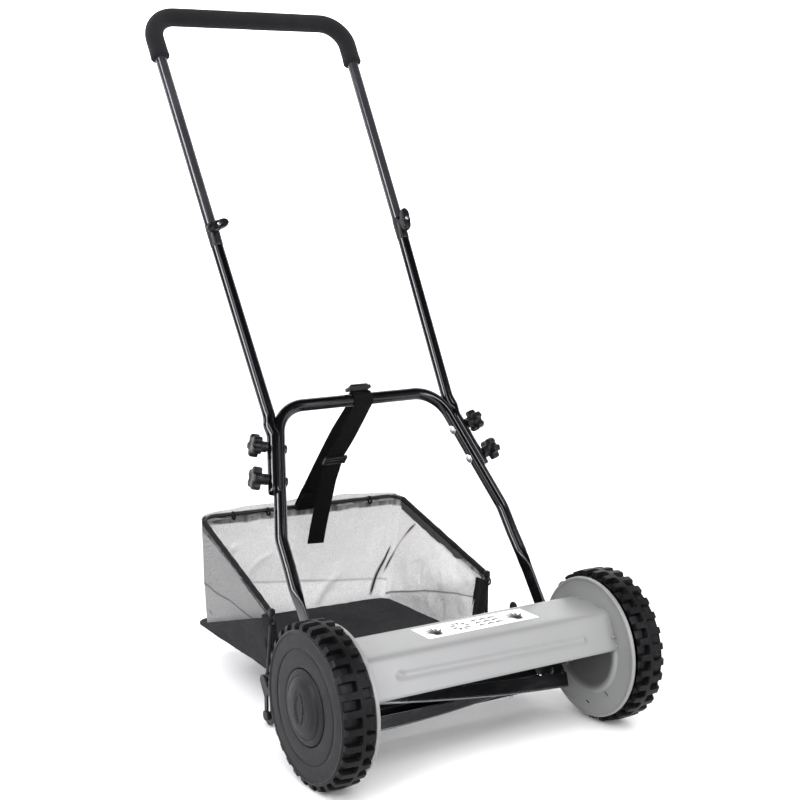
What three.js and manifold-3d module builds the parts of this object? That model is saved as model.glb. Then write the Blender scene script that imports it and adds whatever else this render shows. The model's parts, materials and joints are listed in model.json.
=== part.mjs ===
// A hand-pushed reel mower with a grass bag, in millimetres.
// +Z is up, the mower is pushed towards -Y, and X runs along the wheel axles.
// Its origin is on the ground under the middle of the whole machine.
import * as THREE from "three";
import { ConvexGeometry } from "three/addons/geometries/ConvexGeometry.js";
import { mergeVertices } from "three/addons/utils/BufferGeometryUtils.js";
import Module from "manifold-3d";

const wasm = await Module();
wasm.setup();

// ---------------------------------------------------------------- driving dimensions
const GAP = 0.3; // left between pieces that touch
const AXLE_HEIGHT = 104; // the wheels' radius, so they stand on the ground
const AXLE_TO_MIDDLE = 263; // from the wheel axles back to the middle of the machine

const PLATE_INNER_X = 194; // inner face of a side plate, from the centre plane
const PLATE_THICK = 2;
const PLATE_RADIUS = 95.8;
const AXLE_RADIUS = 6;

const WHEEL_RADIUS = AXLE_HEIGHT;
const WHEEL_INNER_X = 202.5;
const WHEEL_FACE_X = 243.8;
const HUB_RADIUS = 47.4;

const GEAR_MODULE = 3;
const RING_TEETH = 42;
const PINION_TEETH = 8;
const REEL_Y = 46; // reel axis from the wheel axle
const REEL_Z = -22;
const REEL_HALF_LENGTH = 174;
const REEL_TWIST = THREE.MathUtils.degToRad(64); // of each blade from end to end
const REEL_PHASE = THREE.MathUtils.degToRad(20); // where the reel has come to rest
const BLADE_COUNT = 5;
const SHAFT_RADIUS = 6;

const DECK_HALF_LENGTH = 193.7;
const DECK_THICK = 1.5;

const LOWER_TUBE_RADIUS = 8.75;
const UPPER_TUBE_RADIUS = 8.5;
const SPIGOT_RADIUS = 7.3;
const GRIP_RADIUS = 14.5;
const HOLE_SPACING = 48; // between a pair of knobs
const KNOB_RADIUS = 16;

const ROLLER_RADIUS = 17;
const ROLLER_Y = 205;
const WIRE_RADIUS = 2.5;
const STRAP_WIDTH = 30;
const STRAP_THICK = 1.8;

// Places in the chassis frame, whose origin is the middle of the wheels' common axis.
const HOOP_PIVOT = new THREE.Vector3(181, 72.9, 15);
const HOOP_KNEE = new THREE.Vector3(178.5, 181, 161.5);
const HOOP_TOP = new THREE.Vector3(129.4, 281.5, 318.5);
const HOOP_CORNER_RADIUS = 50;
const UPPER_FOOT = new THREE.Vector3(154.8, 411, 531.8);
const UPPER_TOP = new THREE.Vector3(164.6, 614.7, 861.2);
const UPPER_CORNER_RADIUS = 40;
const GRIP_END = 74; // length of foam down each leg from the corner
const BOLT_HEIGHT = 268; // of the upper knob of each pair
const BAG_PEG = new THREE.Vector3(181, 222, -43.5);
const BAG_FRONT = new THREE.Vector3(177, 215, 51);
const BAG_BACK = new THREE.Vector3(171.3, 452, 129);

// ---------------------------------------------------------------- materials
function paint(color, roughness, metalness) {
  return () => new THREE.MeshStandardMaterial({ color, roughness, metalness });
}
const silverPaint = paint(0xb9bbbe, 0.38, 0.35);
const blackPaint = paint(0x1b1b20, 0.3, 0.1);
const wheelPlastic = paint(0x4a4a4d, 0.62, 0);
const knobPlastic = paint(0x1c1c1f, 0.5, 0);
const zincSteel = paint(0xb8bcc0, 0.32, 0.9);
const bladeSteel = paint(0x4c4e52, 0.35, 0.8);
const foam = paint(0x242427, 0.95, 0);
const webbing = paint(0x121213, 0.9, 0);
const meshFabric = paint(0xb4b5b8, 0.9, 0);
const floorFabric = paint(0x3c3c40, 0.85, 0);
const label = paint(0xf0f0ee, 0.5, 0);

// ---------------------------------------------------------------- shape helpers
const X_AXIS = new THREE.Vector3(1, 0, 0);
const TO_X = new THREE.Matrix4().makeBasis(
  new THREE.Vector3(0, 1, 0),
  new THREE.Vector3(0, 0, 1),
  X_AXIS,
);

function toManifold(geometry) {
  const bare = new THREE.BufferGeometry();
  const source = geometry.index ? geometry.toNonIndexed() : geometry;
  bare.setAttribute("position", source.getAttribute("position").clone());
  const merged = mergeVertices(bare, 1e-4);
  return new wasm.Manifold(
    new wasm.Mesh({
      numProp: 3,
      vertProperties: merged.attributes.position.array,
      triVerts: new Uint32Array(merged.index.array),
    }),
  );
}

function fromManifold(manifold) {
  const mesh = manifold.getMesh();
  const geometry = new THREE.BufferGeometry();
  geometry.setAttribute("position", new THREE.BufferAttribute(mesh.vertProperties, 3));
  geometry.setIndex(new THREE.BufferAttribute(mesh.triVerts, 1));
  geometry.computeVertexNormals();
  return geometry;
}

function join(...geometries) {
  return fromManifold(geometries.map(toManifold).reduce((a, b) => a.add(b)));
}

function cut(geometry, ...tools) {
  return fromManifold(tools.map(toManifold).reduce((a, b) => a.subtract(b), toManifold(geometry)));
}

// A solid of revolution about the X axis, from a profile of [radius, x] points.
function turned(profile, segments = 24) {
  const area = profile.reduce((sum, [r, x], i) => {
    const [nextR, nextX] = profile[(i + 1) % profile.length];
    return sum + r * nextX - nextR * x;
  }, 0);
  const points = (area > 0 ? profile : [...profile].reverse()).map(([r, x]) => new THREE.Vector2(r, x));
  const first = points[0];
  const last = points[points.length - 1];
  if (first.x > 0 || last.x > 0) points.push(first.clone());
  return new THREE.LatheGeometry(points, segments).rotateZ(-Math.PI / 2);
}

// A solid cylinder along X between two places.
function rod(radius, fromX, toX, segments = 16) {
  return turned([[0, fromX], [radius, fromX], [radius, toX], [0, toX]], segments);
}

// A shape drawn in the Y-Z plane and extruded along X between two places.
function slab(shape, fromX, toX, curveSegments = 12) {
  const options = { depth: toX - fromX, bevelEnabled: false, curveSegments };
  return new THREE.ExtrudeGeometry(shape, options).translate(0, 0, fromX).applyMatrix4(TO_X);
}

function polygon(points) {
  return new THREE.Shape(points.map(([y, z]) => new THREE.Vector2(y, z)));
}

function circle(radius, y = 0, z = 0) {
  const shape = new THREE.Shape();
  shape.absarc(y, z, radius, 0, 2 * Math.PI);
  return shape;
}

// A flat bar with round ends between two places in the Y-Z plane.
function link(from, to, radius) {
  const along = Math.atan2(to[1] - from[1], to[0] - from[0]);
  const shape = new THREE.Shape();
  shape.absarc(from[0], from[1], radius, along + Math.PI / 2, along + 1.5 * Math.PI);
  shape.absarc(to[0], to[1], radius, along - Math.PI / 2, along + Math.PI / 2);
  shape.closePath();
  return shape;
}

// A strip of constant thickness along a polyline in the Y-Z plane.
function strip(points, thick) {
  const path = points.map(([y, z]) => new THREE.Vector2(y, z));
  const sides = [[], []];
  path.forEach((point, i) => {
    const before = path[Math.max(i - 1, 0)];
    const after = path[Math.min(i + 1, path.length - 1)];
    const into = point.clone().sub(i ? before : point);
    const out = after.clone().sub(i < path.length - 1 ? point : before);
    const along = into.normalize().add(out.normalize()).normalize();
    const straight = i ? into : out;
    const lean = Math.max(Math.abs(along.dot(straight)), 0.5);
    const offset = new THREE.Vector2(-along.y, along.x).multiplyScalar(thick / 2 / lean);
    sides[0].push(point.clone().add(offset));
    sides[1].unshift(point.clone().sub(offset));
  });
  return new THREE.Shape([...sides[0], ...sides[1]]);
}

// A polyline with rounded corners, which keeps its own points when something is swept along it.
class BentRoute extends THREE.Curve {
  constructor(corners, radii, arcSteps = 4) {
    super();
    this.points = [corners[0].clone()];
    for (let i = 1; i < corners.length - 1; i += 1) {
      this.addCorner(corners[i - 1], corners[i], corners[i + 1], radii[i - 1], arcSteps);
    }
    this.points.push(corners[corners.length - 1].clone());
  }

  addCorner(before, corner, after, radius, arcSteps) {
    const back = before.clone().sub(corner).normalize();
    const ahead = after.clone().sub(corner).normalize();
    const half = back.angleTo(ahead) / 2;
    const inward = back.clone().add(ahead).normalize();
    const centre = corner.clone().addScaledVector(inward, radius / Math.sin(half));
    const start = corner.clone().addScaledVector(back, radius / Math.tan(half)).sub(centre);
    const axis = back.clone().cross(ahead).normalize();
    for (let k = 0; k <= arcSteps; k += 1) {
      const angle = -((Math.PI - 2 * half) * k) / arcSteps;
      this.points.push(start.clone().applyAxisAngle(axis, angle).add(centre));
    }
  }

  getPoint(t, target = new THREE.Vector3()) {
    const place = t * (this.points.length - 1);
    const i = Math.min(Math.floor(place), this.points.length - 2);
    return target.lerpVectors(this.points[i], this.points[i + 1], place - i);
  }

  getPointAt(u, target) {
    return this.getPoint(u, target);
  }

  getTangentAt(u, target = new THREE.Vector3()) {
    const last = this.points.length - 1;
    const i = Math.round(u * last);
    const into = this.points[i].clone().sub(this.points[Math.max(i - 1, 0)]).normalize();
    const out = this.points[Math.min(i + 1, last)].clone().sub(this.points[i]).normalize();
    return target.copy(into).add(out).normalize();
  }
}

function swept(route, shape, curveSegments = 5) {
  const steps = route.points.length - 1;
  return new THREE.ExtrudeGeometry(shape, { steps, extrudePath: route, bevelEnabled: false, curveSegments });
}

function tube(corners, radii, radius, bore = 0) {
  const section = circle(radius);
  if (bore) section.holes.push(circle(bore));
  return swept(new BentRoute(corners, radii), section);
}

function mirrored(point) {
  return new THREE.Vector3(-point.x, point.y, point.z);
}

const MIRROR_X = new THREE.Matrix4().makeScale(-1, 1, 1);

function mirroredSolid(geometry) {
  const copy = (geometry.index ? geometry.toNonIndexed() : geometry.clone()).applyMatrix4(MIRROR_X);
  const position = copy.attributes.position;
  const a = new THREE.Vector3();
  const b = new THREE.Vector3();
  for (let i = 0; i < position.count; i += 3) {
    a.fromBufferAttribute(position, i + 1);
    b.fromBufferAttribute(position, i + 2);
    position.setXYZ(i + 1, b.x, b.y, b.z);
    position.setXYZ(i + 2, a.x, a.y, a.z);
  }
  return copy;
}

// ---------------------------------------------------------------- scene graph
const root = new THREE.Group();
const chassis = new THREE.Group();
chassis.position.set(0, -AXLE_TO_MIDDLE, AXLE_HEIGHT);
root.add(chassis);
const sides = { right: new THREE.Group(), left: new THREE.Group() };
sides.left.scale.x = -1;
chassis.add(sides.right, sides.left);

function add(name, geometry, material, parent = chassis) {
  const mesh = new THREE.Mesh(geometry, material());
  mesh.name = name;
  parent.add(mesh);
}

// The same piece on the right and, mirrored, on the left.
function addPair(name, geometry, material, place) {
  for (const [side, group] of Object.entries(sides)) {
    const holder = new THREE.Group();
    if (place) holder.applyMatrix4(place);
    group.add(holder);
    add(`${side}_${name}`, geometry, material, holder);
  }
}

// ---------------------------------------------------------------- wheels and side plates
const MESH_ANGLE = Math.atan2(REEL_Z, REEL_Y); // where the pinion meets the ring gear
const RING_PITCH = (GEAR_MODULE * RING_TEETH) / 2;
const PINION_PITCH = (GEAR_MODULE * PINION_TEETH) / 2;

// A toothed outline: each tooth is a trapezium between a root and a tip radius.
function toothed(teeth, rootRadius, tipRadius, rootWidth, tipWidth, phase) {
  const points = [];
  for (let i = 0; i < teeth; i += 1) {
    const middle = phase + (2 * Math.PI * i) / teeth;
    const corners = [
      [rootRadius, -rootWidth], [tipRadius, -tipWidth], [tipRadius, tipWidth], [rootRadius, rootWidth],
    ];
    for (const [radius, width] of corners) {
      const angle = middle + width / 2 / radius;
      points.push(new THREE.Vector2(radius * Math.cos(angle), radius * Math.sin(angle)));
    }
  }
  return points;
}

function makeWheels() {
  const drum = turned([
    [AXLE_RADIUS + GAP, 197], [12, 197], [12, 232], [96.5, 232], [96.5, WHEEL_INNER_X],
    [WHEEL_RADIUS, WHEEL_INNER_X], [WHEEL_RADIUS, 238], [93.9, WHEEL_FACE_X], [70, WHEEL_FACE_X],
    [70, 241.8], [HUB_RADIUS, 241.8], [HUB_RADIUS, 235], [AXLE_RADIUS + GAP, 235],
  ], 36);
  const ring = circle(RING_PITCH + 7.5);
  const step = Math.PI / RING_TEETH;
  ring.holes.push(
    new THREE.Path(toothed(RING_TEETH, RING_PITCH + 3.3, RING_PITCH - 2.4, 4.6, 2.2, MESH_ANGLE + step)),
  );
  addPair("wheel", join(drum, slab(ring, 204, 233, 18)), wheelPlastic);

  addPair("hub_cap", turned([
    [0, 252.6], [14, 251.6], [28, 248.9], [40, 245.6], [HUB_RADIUS - GAP, 243],
    [HUB_RADIUS - GAP, 235 + GAP], [45, 235 + GAP], [45, 241.4], [28, 246.4], [0, 250],
  ], 30), wheelPlastic);

  addPair("wheel_axle", turned([
    [0, 184], [10, 184], [10, PLATE_INNER_X - GAP], [AXLE_RADIUS, PLATE_INNER_X - GAP],
    [AXLE_RADIUS, 239], [0, 239],
  ], 16), zincSteel);
  addPair("wheel_clip", turned([
    [AXLE_RADIUS + GAP, 235 + GAP], [9.5, 235 + GAP], [9.5, 236.6], [AXLE_RADIUS + GAP, 236.6],
  ], 16), zincSteel);
}

function makeSidePlates() {
  const outerX = PLATE_INNER_X + PLATE_THICK;
  const disc = turned([
    [AXLE_RADIUS + GAP, PLATE_INNER_X], [91, PLATE_INNER_X], [93.5, 192.6], [PLATE_RADIUS, 192.6],
    [PLATE_RADIUS, 198], [93.5, 198], [92, outerX], [AXLE_RADIUS + GAP, outerX],
  ], 36);
  const bearingHole = rod(16, 185, 200).translate(0, REEL_Y, REEL_Z);
  const pivotHole = rod(5, 185, 200).translate(0, HOOP_PIVOT.y, HOOP_PIVOT.z);
  const bracketHole = rod(4 + GAP, 185, 200).translate(0, BRACKET_Y, BRACKET_Z);
  addPair("side_plate", cut(disc, bearingHole, pivotHole, bracketHole), silverPaint);
}

// ---------------------------------------------------------------- deck
const DECK_TOP_Z = 61.5;
const DECK_BACK_Y = 39;
const DECK_FOLD_Y = -42.6;

function makeDeck() {
  const bend = 5;
  const outline = [
    [DECK_BACK_Y, DECK_TOP_Z - 10], [DECK_BACK_Y, DECK_TOP_Z], [DECK_FOLD_Y + bend, DECK_TOP_Z],
    [DECK_FOLD_Y + 1, DECK_TOP_Z - 1.4], [DECK_FOLD_Y - bend * 0.4, DECK_TOP_Z - bend], [-63, 13.4],
  ];
  add("deck_cover", slab(strip(outline, DECK_THICK), -DECK_HALF_LENGTH, DECK_HALF_LENGTH), silverPaint);
  const sheet = new THREE.BoxGeometry(172, 44, 0.4);
  add("deck_label", sheet.translate(11, 3.5, DECK_TOP_Z + DECK_THICK / 2 + GAP + 0.2), label);
}

// ---------------------------------------------------------------- reel and drive
function twistAt(x) {
  return REEL_PHASE + (REEL_TWIST * x) / (2 * REEL_HALF_LENGTH);
}

const BLADE_INNER_RADIUS = 30;
const BLADE_WIDTH = 20;
const BLADE_TILT = THREE.MathUtils.degToRad(40); // of the strip from the reel's radius
const SPIDER_X = [-REEL_HALF_LENGTH + 6, 0, REEL_HALF_LENGTH - 6];

function makeBlade(index) {
  const blade = new THREE.BoxGeometry(2 * REEL_HALF_LENGTH, 2.2, BLADE_WIDTH, 14, 1, 1);
  blade.translate(0, 0, BLADE_WIDTH / 2).rotateX(BLADE_TILT).translate(0, 0, BLADE_INNER_RADIUS);
  const position = blade.attributes.position;
  const point = new THREE.Vector3();
  for (let i = 0; i < position.count; i += 1) {
    point.fromBufferAttribute(position, i);
    point.applyAxisAngle(X_AXIS, twistAt(point.x) + (2 * Math.PI * index) / BLADE_COUNT);
    position.setXYZ(i, point.x, point.y, point.z);
  }
  return blade;
}

function makeSpider(x) {
  const shape = new THREE.Shape();
  for (let i = 0; i < BLADE_COUNT; i += 1) {
    const middle = Math.PI / 2 + twistAt(x) + (2 * Math.PI * i) / BLADE_COUNT;
    for (const [radius, turn] of [[14, -0.62], [29, -0.16], [29, 0.16], [14, 0.62]]) {
      const angle = middle + turn;
      const place = [radius * Math.cos(angle), radius * Math.sin(angle)];
      if (i === 0 && turn === -0.62) shape.moveTo(...place);
      else shape.lineTo(...place);
    }
  }
  shape.closePath();
  shape.holes.push(circle(SHAFT_RADIUS + GAP));
  return slab(shape, x - 2, x + 2, 8);
}

function makeReel() {
  const reel = new THREE.Group();
  reel.position.set(0, REEL_Y, REEL_Z);
  chassis.add(reel);
  const keySlot = (x) => slab(polygon([[-1.8, -20], [1.8, -20], [1.8, 20], [-1.8, 20]]), x - 6, x + 6);
  const shaft = cut(rod(SHAFT_RADIUS, -228, 228), keySlot(214), keySlot(-214));
  add("reel_shaft", shaft, zincSteel, reel);
  SPIDER_X.forEach((x, i) => add(`reel_spider_${i + 1}`, makeSpider(x), bladeSteel, reel));
  for (let i = 0; i < BLADE_COUNT; i += 1) {
    add(`reel_blade_${i + 1}`, makeBlade(i), bladeSteel, reel);
  }

  const atReel = new THREE.Matrix4().makeTranslation(0, REEL_Y, REEL_Z);
  const outerX = PLATE_INNER_X + PLATE_THICK + GAP;
  addPair("reel_bearing", turned([
    [SHAFT_RADIUS + GAP, 185], [15.6, 185], [15.6, outerX], [20, outerX], [20, outerX + 3.5],
    [SHAFT_RADIUS + GAP, outerX + 3.5],
  ], 16), zincSteel, atReel);

  const teeth = toothed(PINION_TEETH, PINION_PITCH - 3.2, PINION_PITCH + 2.2, 4.4, 1.8, MESH_ANGLE);
  const pinion = new THREE.Shape(teeth);
  pinion.holes.push(circle(7.6));
  addPair("drive_pinion", slab(pinion, 206, 227, 6), zincSteel, atReel);
  addPair("drive_pawl", slab(polygon([[-1.5, -7.2], [1.5, -7.2], [1.5, 7.2], [-1.5, 7.2]]), 208.5, 219.5),
    zincSteel, atReel);
}

// ---------------------------------------------------------------- bedknife
const BRACKET_Y = 66; // the bolt that the bedknife and the roller brackets hang on
const BRACKET_Z = -50;
const EAR_INNER_X = 183.3;

function makeBedknife() {
  const lip = [62.6, -67.6];
  const slope = THREE.MathUtils.degToRad(-14);
  const place = new THREE.Matrix4()
    .makeTranslation(0, lip[0], lip[1])
    .multiply(new THREE.Matrix4().makeRotationX(slope));
  const bed = new THREE.Group();
  bed.applyMatrix4(place);
  chassis.add(bed);
  const holeAt = (x) => new THREE.CylinderGeometry(2.8, 2.8, 40, 12).rotateX(Math.PI / 2).translate(x, 13, 0);
  const screws = [-120, 120];
  const holes = screws.map(holeAt);
  const knife = slab(polygon([[0, 0], [25, 0], [25, -3], [3, -3]]), GAP - EAR_INNER_X, EAR_INNER_X - GAP);
  add("bedknife", cut(knife, ...holes), bladeSteel, bed);
  const carrier = slab(
    polygon([[6, -3.3], [29.6, -3.3], [29.6, 9], [33, 9], [33, -7], [6, -7]]),
    -EAR_INNER_X - 0.5,
    EAR_INNER_X + 0.5,
  );
  const pivot = new THREE.Vector3(0, BRACKET_Y, BRACKET_Z).applyMatrix4(place.clone().invert());
  const bolt = rod(4 + GAP, 180, 190, 12).translate(0, pivot.y, pivot.z);
  const ear = cut(slab(link([pivot.y, pivot.z], [22, 0], 8), EAR_INNER_X, EAR_INNER_X + 2.7, 6), bolt);
  add("bedknife_carrier", cut(join(carrier, ear, mirroredSolid(ear)), ...holes), blackPaint, bed);
  screws.forEach((x, i) => {
    const screw = turned([[0, 2.2], [4.6, 2.2], [5, 0.3], [2.5, 0.3], [2.5, -11], [0, -11]], 12);
    add(`bedknife_screw_${i + 1}`, screw.rotateY(-Math.PI / 2).translate(x, 13, 0), zincSteel, bed);
  });
}

// ---------------------------------------------------------------- rear roller
const ROLLER_Z = ROLLER_RADIUS - AXLE_HEIGHT;
const ROLLER_TRAVEL = 24;

function makeRoller() {
  const inner = 186.3;
  const outer = 189.1;
  const arm = slab(link([BRACKET_Y, BRACKET_Z], [ROLLER_Y, ROLLER_Z + 12], 12), inner, outer, 6);
  const slotEnd = ROLLER_Z + ROLLER_TRAVEL;
  const foot = slab(link([ROLLER_Y, ROLLER_Z - 3], [ROLLER_Y, slotEnd + 2], 12), inner, outer, 6);
  const ear = slab(link([ROLLER_Y + 4, ROLLER_Z + 24], [BAG_PEG.y, BAG_PEG.z], 8), inner, outer, 6);
  const prong = slab(link([165, ROLLER_Z + 12], [163, 14], 8), inner, outer, 6); // stops the bag's frame
  const peg = rod(3.8, 176, inner + 1).translate(0, BAG_PEG.y, BAG_PEG.z);
  const slot = slab(link([ROLLER_Y, ROLLER_Z], [ROLLER_Y, slotEnd], 4.5), 180, 200, 6);
  const bolt = rod(4 + GAP, 180, 200).translate(0, BRACKET_Y, BRACKET_Z);
  addPair("roller_bracket", cut(join(arm, foot, ear, prong, peg), slot, bolt), blackPaint);

  const outerX = PLATE_INNER_X + PLATE_THICK + GAP;
  const atBolt = new THREE.Matrix4().makeTranslation(0, BRACKET_Y, BRACKET_Z);
  addPair("bracket_bolt", turned([
    [0, 179.5], [6.5, 179.5], [6.5, EAR_INNER_X - GAP], [4, EAR_INNER_X - GAP], [4, outer + GAP],
    [6, outer + GAP], [6, PLATE_INNER_X - GAP], [4, PLATE_INNER_X - GAP], [4, outerX], [6.5, outerX],
    [6.5, outerX + 4], [0, outerX + 4],
  ], 12), zincSteel, atBolt);

  const axis = new THREE.Group();
  axis.position.set(0, ROLLER_Y, ROLLER_Z);
  chassis.add(axis);
  add("rear_roller", turned([
    [4.4, -170], [14, -170], [ROLLER_RADIUS, -167], [ROLLER_RADIUS, 167], [14, 170], [4.4, 170],
  ], 24), wheelPlastic, axis);
  const end = outer + GAP;
  add("roller_shaft", turned([
    [0, -end - 5], [7, -end - 5], [7, -end], [4, -end], [4, end], [7, end], [7, end + 5], [0, end + 5],
  ], 12), zincSteel, axis);
}

// ---------------------------------------------------------------- handle
const LEG_UP = HOOP_TOP.clone().sub(HOOP_KNEE).normalize();
const LEG_OUT = X_AXIS.clone().addScaledVector(LEG_UP, -LEG_UP.x).normalize();
const SADDLE_RADIUS = 10.5;
const SADDLE_OFFSET = 6.5;

// Local X points out from the hoop leg and local Z up along it.
function legFrame(distance) {
  const start = HOOP_KNEE.clone().addScaledVector(LEG_UP, (BOLT_HEIGHT - HOOP_KNEE.z) / LEG_UP.z + distance);
  const normal = LEG_UP.clone().cross(LEG_OUT);
  return new THREE.Matrix4().makeBasis(LEG_OUT, normal, LEG_UP).setPosition(start);
}

function hoopCorners() {
  const tabTop = HOOP_KNEE.clone().lerp(HOOP_PIVOT, 0.36);
  tabTop.x = 179.5;
  return [tabTop, HOOP_KNEE, HOOP_TOP, mirrored(HOOP_TOP), mirrored(HOOP_KNEE), mirrored(tabTop)];
}

function hoopTube(radius, bore) {
  return tube(hoopCorners(), [40, HOOP_CORNER_RADIUS, HOOP_CORNER_RADIUS, 40], radius, bore);
}

function boltHoles(radius) {
  return [0, -HOLE_SPACING].map((distance) => rod(radius, -25, 25, 12).applyMatrix4(legFrame(distance)));
}

function makeHoop() {
  const knee = new THREE.Vector2(HOOP_KNEE.y - HOOP_PIVOT.y, HOOP_KNEE.z - HOOP_PIVOT.z);
  const flat = link([0, 0], [knee.x * 0.66, knee.y * 0.66], 12);
  const tabs = slab(flat, 178.8, 183.4, 6).translate(0, HOOP_PIVOT.y, HOOP_PIVOT.z);
  const hole = rod(5, 170, 190).translate(0, HOOP_PIVOT.y, HOOP_PIVOT.z);
  const oneSide = cut(tabs, hole);
  const holes = boltHoles(3 + GAP);
  const hoop = join(hoopTube(LOWER_TUBE_RADIUS, LOWER_TUBE_RADIUS - 1), oneSide, mirroredSolid(oneSide));
  add("lower_handle", cut(hoop, ...holes, ...holes.map(mirroredSolid)), blackPaint);

  const outerX = PLATE_INNER_X + PLATE_THICK + GAP;
  addPair("handle_pivot_bolt", turned([
    [0, 174.5], [7.5, 174.5], [7.5, 178.5], [4.7, 178.5], [4.7, 183.7], [8.5, 183.7],
    [8.5, PLATE_INNER_X - GAP], [4.7, PLATE_INNER_X - GAP], [4.7, outerX], [8, outerX],
    [8, outerX + 4], [0, outerX + 4],
  ], 12), zincSteel, new THREE.Matrix4().makeTranslation(0, HOOP_PIVOT.y, HOOP_PIVOT.z));
}

function makeMidTubes() {
  const saddleLine = (distance) => new THREE.Vector3(13, 0, 0).applyMatrix4(legFrame(distance));
  const upperDirection = UPPER_TOP.clone().sub(UPPER_FOOT).normalize();
  const bend = saddleLine(47);
  const foot = UPPER_FOOT.clone().addScaledVector(upperDirection, -GAP);
  const spigotEnd = UPPER_FOOT.clone().addScaledVector(upperDirection, 58);
  const round = tube([foot, bend, saddleLine(10)], [60], LOWER_TUBE_RADIUS);
  const spigot = tube([spigotEnd, foot.clone().addScaledVector(upperDirection, -8)], [], SPIGOT_RADIUS);
  const saddle = swept(
    new BentRoute([new THREE.Vector3(0, 0, -70), new THREE.Vector3(0, 0, 48)], []),
    circle(SADDLE_RADIUS), 8,
  ).translate(SADDLE_OFFSET, 0, 0).applyMatrix4(legFrame(0));
  const clearance = hoopTube(LOWER_TUBE_RADIUS + GAP + 0.1);
  const bore = tube([spigotEnd.clone().addScaledVector(upperDirection, 1), bend], [], SPIGOT_RADIUS - 1);
  const pin = rod(3.3, -20, 20, 10).applyMatrix4(wingFrame());
  const holes = [clearance, bore, pin, ...boltHoles(3 + GAP)];
  addPair("middle_tube", cut(join(round, spigot, saddle), ...holes), blackPaint);
}

function starOutline(radius, waist, lobes) {
  const shape = new THREE.Shape();
  for (let i = 0; i < lobes; i += 1) {
    const middle = (2 * Math.PI * i) / lobes;
    const half = Math.PI / lobes;
    const shoulder = radius * 0.93;
    for (const [r, turn] of [[waist, -half], [shoulder, -half / 2], [radius, 0], [shoulder, half / 2]]) {
      const place = [r * Math.cos(middle + turn), r * Math.sin(middle + turn)];
      if (i === 0 && turn === -half) shape.moveTo(...place);
      else shape.lineTo(...place);
    }
  }
  shape.closePath();
  return shape;
}

function makeKnobs() {
  const saddleX = SADDLE_OFFSET + SADDLE_RADIUS + GAP;
  const head = slab(starOutline(KNOB_RADIUS, 11, 5), saddleX + 12, saddleX + 24);
  const stem = rod(7.5, saddleX, saddleX + 13);
  const bore = rod(3 + GAP, saddleX - 5, saddleX + 16, 12);
  const knob = cut(join(head, stem), bore);
  const bolt = turned([
    [0, -12.2], [4, -11.6], [6.5, -10.2], [7, -9.1], [3, -9.1], [3, saddleX + 14], [0, saddleX + 14],
  ], 12);
  [0, -HOLE_SPACING].forEach((distance, i) => {
    const place = ["upper", "lower"][i];
    addPair(`${place}_star_knob`, knob, knobPlastic, legFrame(distance));
    addPair(`${place}_carriage_bolt`, bolt, zincSteel, legFrame(distance));
  });
}

function upperCorners() {
  return [UPPER_FOOT, UPPER_TOP, mirrored(UPPER_TOP), mirrored(UPPER_FOOT)];
}

// Local X points forwards and up, square to the upper handle, from the middle of its joint.
function wingFrame() {
  const up = UPPER_TOP.clone().sub(UPPER_FOOT).normalize();
  const forward = X_AXIS.clone().cross(up).negate().normalize();
  const place = UPPER_FOOT.clone().addScaledVector(up, 24);
  return new THREE.Matrix4().makeBasis(forward.clone().negate(), up.clone().cross(forward).negate(), up)
    .setPosition(place);
}

function makeUpperHandle() {
  const up = UPPER_TOP.clone().sub(UPPER_FOOT).normalize();
  const pin = rod(3.3, -20, 20, 10).applyMatrix4(wingFrame());
  const radii = [UPPER_CORNER_RADIUS, UPPER_CORNER_RADIUS];
  const handle = tube(upperCorners(), radii, UPPER_TUBE_RADIUS, SPIGOT_RADIUS + GAP + 0.1);
  add("upper_handle", cut(handle, pin, mirroredSolid(pin)), blackPaint);

  const gripFoot = UPPER_TOP.clone().addScaledVector(up, -GRIP_END);
  const gripCorners = [gripFoot, UPPER_TOP, mirrored(UPPER_TOP), mirrored(gripFoot)];
  add("foam_grip", tube(gripCorners, radii, GRIP_RADIUS, UPPER_TUBE_RADIUS + 0.7), foam);

  const start = UPPER_TUBE_RADIUS + GAP;
  const boss = turned([[0, start], [9.5, start], [6.5, start + 8], [6.5, start + 14], [0, start + 14]], 14);
  const stud = rod(3, -13, start + 1);
  const wing = slab(link([-9, 0], [9, 0], 5.5), start + 9, start + 19, 6);
  addPair("wing_knob", join(boss, stud, wing), knobPlastic, wingFrame());
}

// ---------------------------------------------------------------- strap
const BAR_Y = HOOP_TOP.y;
const BAR_Z = HOOP_TOP.z;
const BUCKLE = [355, 215];

function makeStrap() {
  const loopRadius = LOWER_TUBE_RADIUS + STRAP_THICK / 2 + 0.5;
  const points = [[418, 78], [400, 128], [386, 168], [366, 203], BUCKLE];
  for (let degrees = 205; degrees >= 35; degrees -= 17) {
    const angle = THREE.MathUtils.degToRad(degrees);
    points.push([BAR_Y + loopRadius * Math.cos(angle), BAR_Z + loopRadius * Math.sin(angle)]);
  }
  points.push([303, 305], [444, 145]);
  const from = 2 - STRAP_WIDTH / 2;
  add("strap", slab(strip(points, STRAP_THICK), from, from + STRAP_WIDTH), webbing);

  const slider = new THREE.BoxGeometry(STRAP_WIDTH + 7, 5, 14).rotateX(0.5);
  slider.translate(2, BAR_Y - 7, BAR_Z + LOWER_TUBE_RADIUS + 11);
  add("strap_slider", slider, knobPlastic);
  const buckle = new THREE.BoxGeometry(STRAP_WIDTH + 7, 4, 16).rotateX(0.73);
  add("strap_buckle", buckle.translate(2, BUCKLE[0] - 3, BUCKLE[1] - 2.5), knobPlastic);
}

// ---------------------------------------------------------------- grass bag
const FLOOR_HALF_WIDTH = 162;
const FLOOR_FRONT_Y = 229;
const FLOOR_BACK_Y = 500;
const FLOOR_Z = -44;
const FLOOR_THICK = 4;
const BAG_WALL = 3;

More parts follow.
